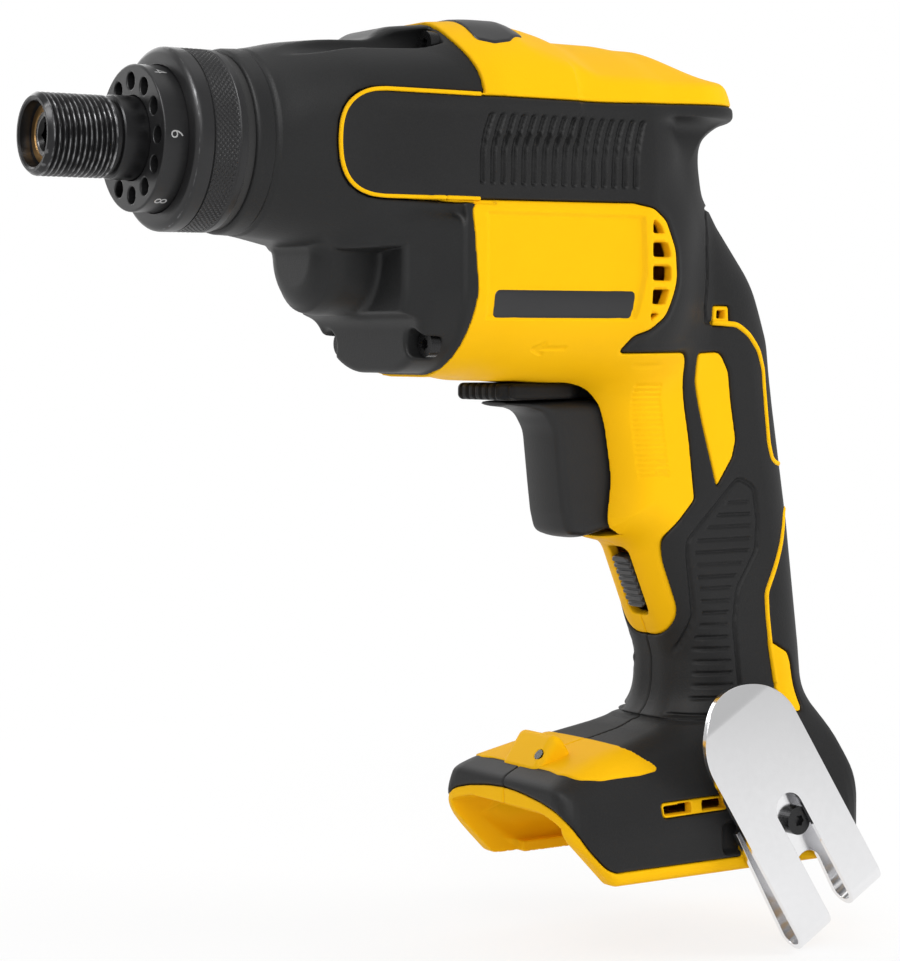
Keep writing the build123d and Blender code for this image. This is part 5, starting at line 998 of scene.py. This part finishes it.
# Overmoulds: soft black rubber bonded over each half, from the ribbed lobes round the neck and the
# handle to the foot, 2 mm thick and a little proud of the yellow, with a fine matt grain.
grip_rubber = finish("grip_rubber", (0.009, 0.009, 0.0093), (0.018, 0.018, 0.0184), (0.48, 0.62), 1500, 0.07,
                     shine=0.25)
for hand, field in (("left", rubber), ("right", cut(rubber, screw_room))):
    moulded(hand + "_rubber", field, half, SHELL_TRIANGLES, grip_rubber, "tool_body", "grip_rubber",
            hand + "_overmould", mirror=hand == "left")

# Label plates: thin printed films on the side panels, the hump and the foot, all left bare.
# Each is a slice of the housing's own form, a little proud of what it sticks to.
SIDE_FILM = [(124.2, -39.8, 2), (172.8, -39.8, 2), (171.6, -47.8, 2), (124.2, -47.8, 2)]
TOP_FILM = [(122.5, -4, 0.1), (122.5, 25, 2), (128, 26.4, 3), (134, 25.4, 3), (142, 20, 3), (142, -4, 0.1)]
FOOT_FILM = [
    (155.8, -4, 0.1), (155.8, 14, 2), (154.8, 20, 4), (156.6, 26.4, 4), (164, 28.5, 8), (178, 28.5, 8),
    (186.4, 27.8, 1), (181.2, 24.3, 4), (178.8, 19, 6), (179.6, -4, 0.1),
]


def films(name, outline, upright, depths, box, material, slot, replaced):
    """Films on both halves that follow the form inside an outline, seen from the side or from above."""
    spans = []
    for axis, start, end in zip(half, *box):
        places = axis.ravel()
        spans.append(slice(int(np.searchsorted(places, start)), int(np.searchsorted(places, end))))
    part = (half[0][spans[0]], half[1][:, spans[1]], half[2][:, :, spans[2]])
    x, y, z = part
    edge = flat_distance(outline, x, z) if upright else np.maximum(flat_distance(outline, x, y), HALF_GAP - y)
    skin = form[tuple(spans)]
    under, over = depths
    shape = overlap(skin - over, -skin - under, edge)
    for hand in ("left", "right"):
        moulded(hand + "_" + name, shape, part, 20000, material, "tool_body", slot, replaced,
                mirror=hand == "left")


label_black = finish("label_black", (0.012, 0.012, 0.013), (0.018, 0.018, 0.019), (0.3, 0.38), 900, 0.005)
films("side_label", SIDE_FILM, True, (1.4, 0.25), ((120, 24, -52), (178, 36, -36)), label_black,
      "plain_label", "side_labels")
films("top_label", TOP_FILM, False, (1.2, 0.45), ((118, -1, 26), (145, 29, 38.6)), label_black,
      "plain_label", "top_label")
films("foot_label", FOOT_FILM, False, (1.0, 0.8), ((150, -1, -196), (196, 30, -165)), yellow_housing,
      "yellow_housing", "foot_label")

# Trigger: black glass-filled nylon, pushed back into the handle against its spring.
# A tall finger face rounded over to flat sides, with a lip forward under the reverse lever.
TRIGGER = [
    (145.2, -71.5, 0.6), (145.2, -73.2, 1), (152, -73.9, 4), (157.6, -75.6, 6), (160.8, -81, 8),
    (161.6, -88, 12), (162.6, -97, 20), (163.6, -105, 8), (165.4, -112, 6), (172, -112.8, 5),
    (189.8, -109, 1), (189.8, -71.5, 1),
]
TRIGGER_HALF_WIDTH = 10
finger = space((143, -11.5, -114), (191.5, 11.5, -70))
x, y, z = finger
a = np.abs(y)
face = flat_distance(TRIGGER, x, z) + 1.2 * (y / TRIGGER_HALF_WIDTH) ** 2
pull = rounded_corner(face, a - TRIGGER_HALF_WIDTH, 2.5)
pull = smooth_max(pull, a - ease(((144, 7.2), (152, 7.8), (161, TRIGGER_HALF_WIDTH)), x, 4), 1)
trigger_black = finish("trigger_black", (0.012, 0.012, 0.0125), (0.019, 0.019, 0.0195), (0.42, 0.55), 1700,
                       0.045, shine=0.3)
moulded("finger_trigger", pull, finger, 40000, trigger_black, "trigger_body", "black_plastic", "trigger")

# Reverse lever: smooth black nylon paddle under the barrel, moulded in one piece with its pivot, which turns
# inside the handle. It is pushed from either side, and its front edge is ribbed for the thumb and the finger.
LEVER_PLAN = [(189.8, -4, 1), (189.8, 4, 1), (174, 4, 3), (168, 8.2, 4), (151, 12, 4), (143, 13.5, 3),
              (139.8, 10.5, 3), (139.8, -10.5, 3), (143, -13.5, 3), (151, -12, 4), (168, -8.2, 4),
              (174, -4, 3)]
paddle = space((137.5, -15.5, -73), (191.5, 15.5, -61), SMALL_STEP)
x, y, z = paddle
plan = flat_distance(LEVER_PLAN, x, y)
teeth = groove(np.abs(np.mod(y, 3.4) - 1.7), 0.9)
plan = plan + 0.6 * teeth * (1 - smooth_step(143, 146, x))
lever = rounded_corner(plan, np.maximum(z + 66.4, -71.3 - z), 1.6)
pivot = overlap(np.hypot(x - 184, y) - 3.6, z + 61.7, -70 - z)
lever = smooth_min(lever, pivot, 0.5)
lever_black = finish("lever_black", (0.009, 0.009, 0.0095), (0.014, 0.014, 0.0145), (0.4, 0.5), 1400, 0.008,
                     shine=0.12)
moulded("reverse_paddle", lever, paddle, 40000, lever_black, "reverse_body", "black_plastic", "reverse_lever")

# Slide lock: black nylon button with moulded ribs across it, in a window of the tongue below the trigger.
# It is held by the shells and slides up to lock the trigger off.
button = space((183, -6, -142), (206, 6, -112), FINE_STEP)
x, y, z = button
along, out = slider_axes(x, z)
face = rounded_corner(np.abs(y) - 4.1, np.abs(along) - 8.6, 1.8)
steps = groove(np.abs(np.mod(along + 8.0, 2.2) - 1.1), 0.7)
top = out - 0.9 + 0.7 * steps * (np.abs(along) < 7.6)
lock = rounded_corner(face, np.maximum(top, -out - 2.6), 0.5)
lock_black = finish("lock_black", (0.016, 0.016, 0.017), (0.024, 0.024, 0.025), (0.3, 0.42), 1500, 0.02)
moulded("lock_button", lock, button, 30000, lock_black, "lock_body", "black_plastic", "lock_slider")

# Lamp cover: yellow hood on the front of the foot over the work light, clipped in, with a small round
# hole for the lens in its sloped face. The lens is clear plastic, a little frosted, in its CAD shape.
LAMP_SIDE = [(154.8, -192, 1), (154.8, -179.6, 1.5), (161.2, -170.5, 3), (164.4, -171.2, 3),
             (168.8, -177.6, 3), (168.8, -192, 1)]
LENS_PLACE = (157.4, -6.4, -176.0)
LENS_NORMAL = (-0.815, 0, 0.579)
LENS_RADIUS = 1.65
hood = space((153, -11, -193.5), (170.5, 11, -169), SMALL_STEP)
x, y, z = hood
cover = rounded_corner(flat_distance(LAMP_SIDE, x, z), np.abs(y) - 9.4, 2.6)
lens_out = (x - LENS_PLACE[0]) * LENS_NORMAL[0] + (z - LENS_PLACE[2]) * LENS_NORMAL[2]
lens_across = (x - LENS_PLACE[0]) * LENS_NORMAL[2] - (z - LENS_PLACE[2]) * LENS_NORMAL[0]
lens_hole = np.maximum(np.hypot(lens_across, y - LENS_PLACE[1]) - LENS_RADIUS, -lens_out - 2.9)
cover = smooth_max(cover, -lens_hole, 0.3)
cover = np.maximum(cover, -189.2 - z)
moulded("lamp_hood", cover, hood, 50000, yellow_housing, "tool_body", "yellow_housing", "lamp_cover")
clear_lens, tree, glass = new_material("clear_lens")
frost = add_node(tree, "ShaderNodeTexNoise", {"Vector": object_place(tree), "Scale": 700.0})
frosted = add_node(tree, "ShaderNodeMapRange", {"Value": frost, "To Min": 0.04, "To Max": 0.16})
feed(glass, {"Base Color": (0.16, 0.1, 0.04, 1), "Roughness": frosted, "Transmission Weight": 1.0,
             "IOR": 1.5})
dress(clear_lens, "lamp_lens")

# Springs: bright steel wire, coiled, held between their seats in the clutch, the handle and the gearcase.
# Each keeps its CAD coil as a piece of its own.
SPRINGS = (
    ("clutch_spring", "clutch_turn", (91.9, 0, 0), 0.908),
    ("trigger_spring", "trigger_pull", (196.9, 0, -92), 0.675),
    ("spindle_return_spring", "spindle_push", (84.79, 0, 0), 0.705),
)
for node, joint, seat, shortest in SPRINGS:
    wire = nodes[node].data.copy()
    coil = place_piece(node + "_coil", wire, bright_steel, "tool_body", "bright_steel", node)
    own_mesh(coil)

# Belt hook: spring steel strip, folded, polished and chromed, screwed to the foot's left pad.
# It keeps the CAD shape, turned a little on its fold, with broken edges, a plate that leans in to clamp
# a belt and a curled lip.
HOOK_TOP = (208.5, -155.5)
HOOK_DOWN = (0.4368, -0.8996)
HOOK_LENGTH = 79.8
HOOK_FOLD = (73.5, 74.5)
HOOK_BACK = -38.0
HOOK_GAP = 6.4
HOOK_TURN = 4.0
HOOK_LEAN = 8.0
LIP_LENGTH = 6.0
LIP_BEND = 2.0


def down_hook(reach):
    """Place in the middle plane at a reach down the hook's plate."""
    return Vector((HOOK_TOP[0] + reach * HOOK_DOWN[0], 0, HOOK_TOP[1] + reach * HOOK_DOWN[1])) * MM


hook_builder = bmesh.new()
hook_builder.from_mesh(nodes["belt_hook"].data)
bmesh.ops.remove_doubles(hook_builder, verts=hook_builder.verts, dist=1e-6)
bmesh.ops.dissolve_limit(hook_builder, angle_limit=math.radians(1), verts=hook_builder.verts,
                         edges=hook_builder.edges)
for reach in (*np.linspace(0.6, LIP_LENGTH, 8).tolist(), LIP_LENGTH + 0.6, *HOOK_FOLD):
    bmesh.ops.bisect_plane(hook_builder, geom=[*hook_builder.verts, *hook_builder.edges, *hook_builder.faces],
                           plane_co=down_hook(reach), plane_no=Vector((HOOK_DOWN[0], 0, HOOK_DOWN[1])))
for vertex in hook_builder.verts:
    below = (vertex.co.x / MM - HOOK_TOP[0]) * HOOK_DOWN[0] + (vertex.co.z / MM - HOOK_TOP[1]) * HOOK_DOWN[1]
    plate_share = min(max((HOOK_BACK - vertex.co.y / MM) / HOOK_GAP, 0), 1)
    lean = HOOK_LEAN * max(1 - below / HOOK_LENGTH, 0) + LIP_BEND * max(1 - below / LIP_LENGTH, 0) ** 2
    vertex.co.y += plate_share * lean * MM
bmesh.ops.rotate(hook_builder, cent=down_hook(HOOK_LENGTH), verts=hook_builder.verts,
                 matrix=Matrix.Rotation(math.radians(-HOOK_TURN), 3, "Y"))
sharp = [edge for edge in hook_builder.edges
         if edge.is_manifold and edge.calc_face_angle() > math.radians(40)]
bmesh.ops.bevel(hook_builder, geom=sharp, offset=0.22 * MM, segments=2, profile=0.5, affect="EDGES",
                clamp_overlap=True)
bmesh.ops.triangulate(hook_builder, faces=hook_builder.faces)
hook_mesh = bpy.data.meshes.new("chrome_hook")
hook_builder.to_mesh(hook_mesh)
hook_builder.free()
hook_mesh.shade_smooth()
hook_mesh.set_sharp_from_angle(angle=math.radians(35))
chrome = finish("chrome", (0.88, 0.88, 0.89), (0.82, 0.82, 0.83), (0.14, 0.2), 500, 0.002, 1.0)
hook = place_piece("chrome_hook", hook_mesh, chrome, "tool_body", "chrome_strip", "belt_hook")
even_normals = hook.modifiers.new("even_normals", "WEIGHTED_NORMAL")
even_normals.keep_sharp = True
even_normals.weight = 100

# Screws: blackened steel, round heads with six-lobed sockets. Four hold the gearcase, eight join the
# housing halves from the right and one holds the hook. One node tree makes each group.
SCREW_SIZES = ("Head Radius", "Head Height", "Socket Radius", "Shank Radius", "Shank Length")


def screw_tree():
    """Geometry nodes: a socketed head with its shank on each point, turned to an axis."""
    inputs = {"Geometry": "Geometry", **dict.fromkeys(SCREW_SIZES, "Float"), "Axis": "Vector",
              "Finish": "Material"}
    tree, given = node_group("screws", inputs, {"Geometry": "Geometry"}, "GeometryNodeTree")
    socket_radius, head_height = given["Socket Radius"], given["Head Height"]

    def scaled(socket, factor):
        return calculate(tree, "MULTIPLY", socket, factor)

    def shifted(geometry, height):
        move = add_node(tree, "ShaderNodeCombineXYZ", {"Z": height})
        return add_node(tree, "GeometryNodeTransform", {"Geometry": geometry, "Translation": move})

    def cylinder(sides, radius, depth):
        sizes = {"Vertices": sides, "Radius": radius, "Depth": depth}
        return add_node(tree, "GeometryNodeMeshCylinder", sizes)

    head = cylinder(48, given["Head Radius"], head_height)
    star = add_node(tree, "GeometryNodeCurveStar", {
        "Points": 6, "Outer Radius": socket_radius, "Inner Radius": scaled(socket_radius, 0.7)})
    lobes = add_node(tree, "GeometryNodeFilletCurve",
                     {"Curve": star, "Count": 4, "Radius": scaled(socket_radius, 0.2)}, mode="POLY")
    filled = add_node(tree, "GeometryNodeFillCurve", {"Curve": lobes}, mode="NGONS")
    drawn = add_node(tree, "GeometryNodeExtrudeMesh", {"Mesh": filled, "Offset Scale": head_height},
                     mode="FACES")
    floor_face = add_node(tree, "GeometryNodeFlipFaces", {"Mesh": filled})
    closed = add_node(tree, "GeometryNodeJoinGeometry", {"Geometry": [drawn, floor_face]})
    welded = add_node(tree, "GeometryNodeMergeByDistance", {"Geometry": closed, "Distance": 1e-6})
    bored = add_node(tree, "GeometryNodeMeshBoolean", {"Mesh 1": head, "Mesh 2": welded},
                     operation="DIFFERENCE")
    shank = cylinder(24, given["Shank Radius"], given["Shank Length"])
    parts = [shifted(bored, scaled(head_height, 0.5)), shifted(shank, scaled(given["Shank Length"], -0.5))]
    screw = add_node(tree, "GeometryNodeJoinGeometry", {"Geometry": parts})
    turn = add_node(tree, "FunctionNodeAlignRotationToVector", {"Vector": given["Axis"]}, axis="Z")
    spread = add_node(tree, "GeometryNodeInstanceOnPoints",
                      {"Points": given["Geometry"], "Instance": screw, "Rotation": turn})
    real = add_node(tree, "GeometryNodeRealizeInstances", {"Geometry": spread})
    coated = add_node(tree, "GeometryNodeSetMaterial", {"Geometry": real, "Material": given["Finish"]})
    feed(tree.nodes["Group Output"], {"Geometry": coated})
    return tree


SCREWS = screw_tree()
screw_steel = finish("screw_steel", (0.02, 0.02, 0.021), (0.034, 0.034, 0.035), (0.22, 0.34), 2200, 0.01, 0.7)


def screw_set(name, places, axis, sizes, replaced):
    """Screws with the undersides of their heads at the places, in mm, as one piece."""
    points = bpy.data.meshes.new(name)
    points.from_pydata([tuple(value * MM for value in place) for place in places], [], [])
    maker = new_object(name, points)
    modifier = maker.modifiers.new("screws", "NODES")
    modifier.node_group = SCREWS
    given = dict(zip(SCREW_SIZES, sizes), Axis=axis, Finish=screw_steel)
    for item in SCREWS.interface.items_tree:
        if item.in_out == "INPUT" and item.name in given:
            value = given[item.name]
            modifier[item.identifier] = value * MM if isinstance(value, float) else value
    place_piece(name, baked(maker), screw_steel, "tool_body", "black_oxide_steel", replaced)


case_places = [(head_x, side * screw_y, screw_z) for screw_y, screw_z, head_x, _ in CASE_SCREWS
               for side in (-1, 1)]
housing_places = [(screw_x, 8.0, screw_z) for screw_x, screw_z in SCREW_POINTS]
hook_places = [(HOOK_SCREW[0], HOOK_BACK, HOOK_SCREW[1])]
screw_set("gearcase_torx", case_places, (-1, 0, 0), (3.6, 3.0, 1.9, 2.0, 16.0), "gearcase_screws")
screw_set("housing_torx", housing_places, (0, 1, 0), (3.0, 2.4, 1.6, 1.5, 15.0), "housing_screws")
screw_set("hook_torx", hook_places, (0, -1, 0), (4.3, 2.5, 2.0, 1.95, 6.5), "hook_screw")

# Camera: at the photograph's place, low and to the front left of the tool. Its turn, height and lens
# were fitted to the outline in the photograph.
AZIMUTH = math.radians(-33.19)
ELEVATION = math.radians(3.07)
back = Vector((math.sin(AZIMUTH) * math.cos(ELEVATION), -math.cos(AZIMUTH) * math.cos(ELEVATION),
               math.sin(ELEVATION)))
lens = bpy.data.cameras.new("camera")
lens.sensor_width = 36.0
lens.lens = 98.77
camera = new_object("camera", lens)
camera.location = (-0.2877, -0.6392, -0.0536)
camera.rotation_euler = (-back).to_track_quat("-Z", "Y").to_euler()
bpy.context.scene.camera = camera

# Studio: a white floor that keeps the tool's shadow, a white surround and large soft lamps.
# The floor and the surround glow white for the camera, and the lamps are soft boxes.
FLOOR_HEIGHT = -0.237
FLOOR_HALF_SIZE = 6


def white_surface():
    """White to the camera, to gloss and through glass, with the shadow left on it."""
    material, tree, shader = new_material("studio_white")
    feed(shader, {"Base Color": (0.9, 0.9, 0.9, 1), "Roughness": 0.9})
    path = tree.nodes.new("ShaderNodeLightPath").outputs
    direct = calculate(tree, "MAXIMUM", path["Is Camera Ray"], path["Is Glossy Ray"])
    seen = calculate(tree, "MAXIMUM", direct, path["Is Transmission Ray"])
    away = add_node(tree, "ShaderNodeVectorMath", {0: object_place(tree), 1: (0.2, 0, FLOOR_HEIGHT)}, "Value",
                    operation="DISTANCE")
    fade = add_node(tree, "ShaderNodeMapRange",
                    {"Value": away, "From Min": 0.15, "From Max": 0.5, "To Min": 0.8})
    share = calculate(tree, "MULTIPLY", seen, fade)
    glow = add_node(tree, "ShaderNodeEmission", {"Strength": 1.0})
    mix = add_node(tree, "ShaderNodeMixShader", {"Fac": share, 1: shader.outputs["BSDF"], 2: glow})
    feed(tree.nodes["Material Output"], {"Surface": mix})
    return material


floor_mesh = bpy.data.meshes.new("floor")
floor_corners = [(side_x * FLOOR_HALF_SIZE, side_y * FLOOR_HALF_SIZE, FLOOR_HEIGHT)
                 for side_x, side_y in ((-1, -1), (1, -1), (1, 1), (-1, 1))]
floor_mesh.from_pydata(floor_corners, [], [(0, 1, 2, 3)])
floor_mesh.materials.append(white_surface())
floor = new_object("floor", floor_mesh)

world = bpy.data.worlds.new("studio")
world.use_nodes = True
sky = world.node_tree
path = sky.nodes.new("ShaderNodeLightPath").outputs
seen = calculate(sky, "MAXIMUM", path["Is Camera Ray"], path["Is Transmission Ray"])
level = add_node(sky, "ShaderNodeMapRange", {"Value": seen, "To Min": 0.56, "To Max": 1.0})
feed(sky.nodes["Background"], {"Color": (1, 1, 1, 1), "Strength": level})
bpy.context.scene.world = world
TOOL_MIDDLE = (0.14, 0, -0.08)


def soft_lamp(name, place, aim, size, watts):
    """A large soft box that points at a place, sizes in metres."""
    light = bpy.data.lights.new(name, "AREA")
    light.shape = "RECTANGLE"
    light.size, light.size_y = size
    light.energy = watts
    lamp = new_object(name, light)
    lamp.location = place
    lamp.rotation_euler = (Vector(aim) - Vector(place)).to_track_quat("-Z", "Y").to_euler()
    return lamp


soft_lamp("key_lamp", (-0.45, -0.95, 0.5), TOOL_MIDDLE, (0.6, 0.6), 5)
soft_lamp("top_lamp", (0.2, 0.1, 0.95), TOOL_MIDDLE, (0.9, 0.7), 1.4)
rear_lamp = soft_lamp("rear_lamp", (0.8, -0.45, 0.2), (0.16, 0, -0.08), (0.35, 0.8), 4)
rear_lamp.visible_glossy = False
soft_lamp("far_lamp", (0.1, 0.9, 0.3), TOOL_MIDDLE, (0.9, 0.7), 4)
sheen_lamp = soft_lamp("sheen_lamp", (-0.7, -0.25, 0.75), (0.12, 0, -0.06), (0.5, 0.5), 10)
sheen_lamp.visible_diffuse = False
bpy.context.scene.view_settings.view_transform = "Standard"
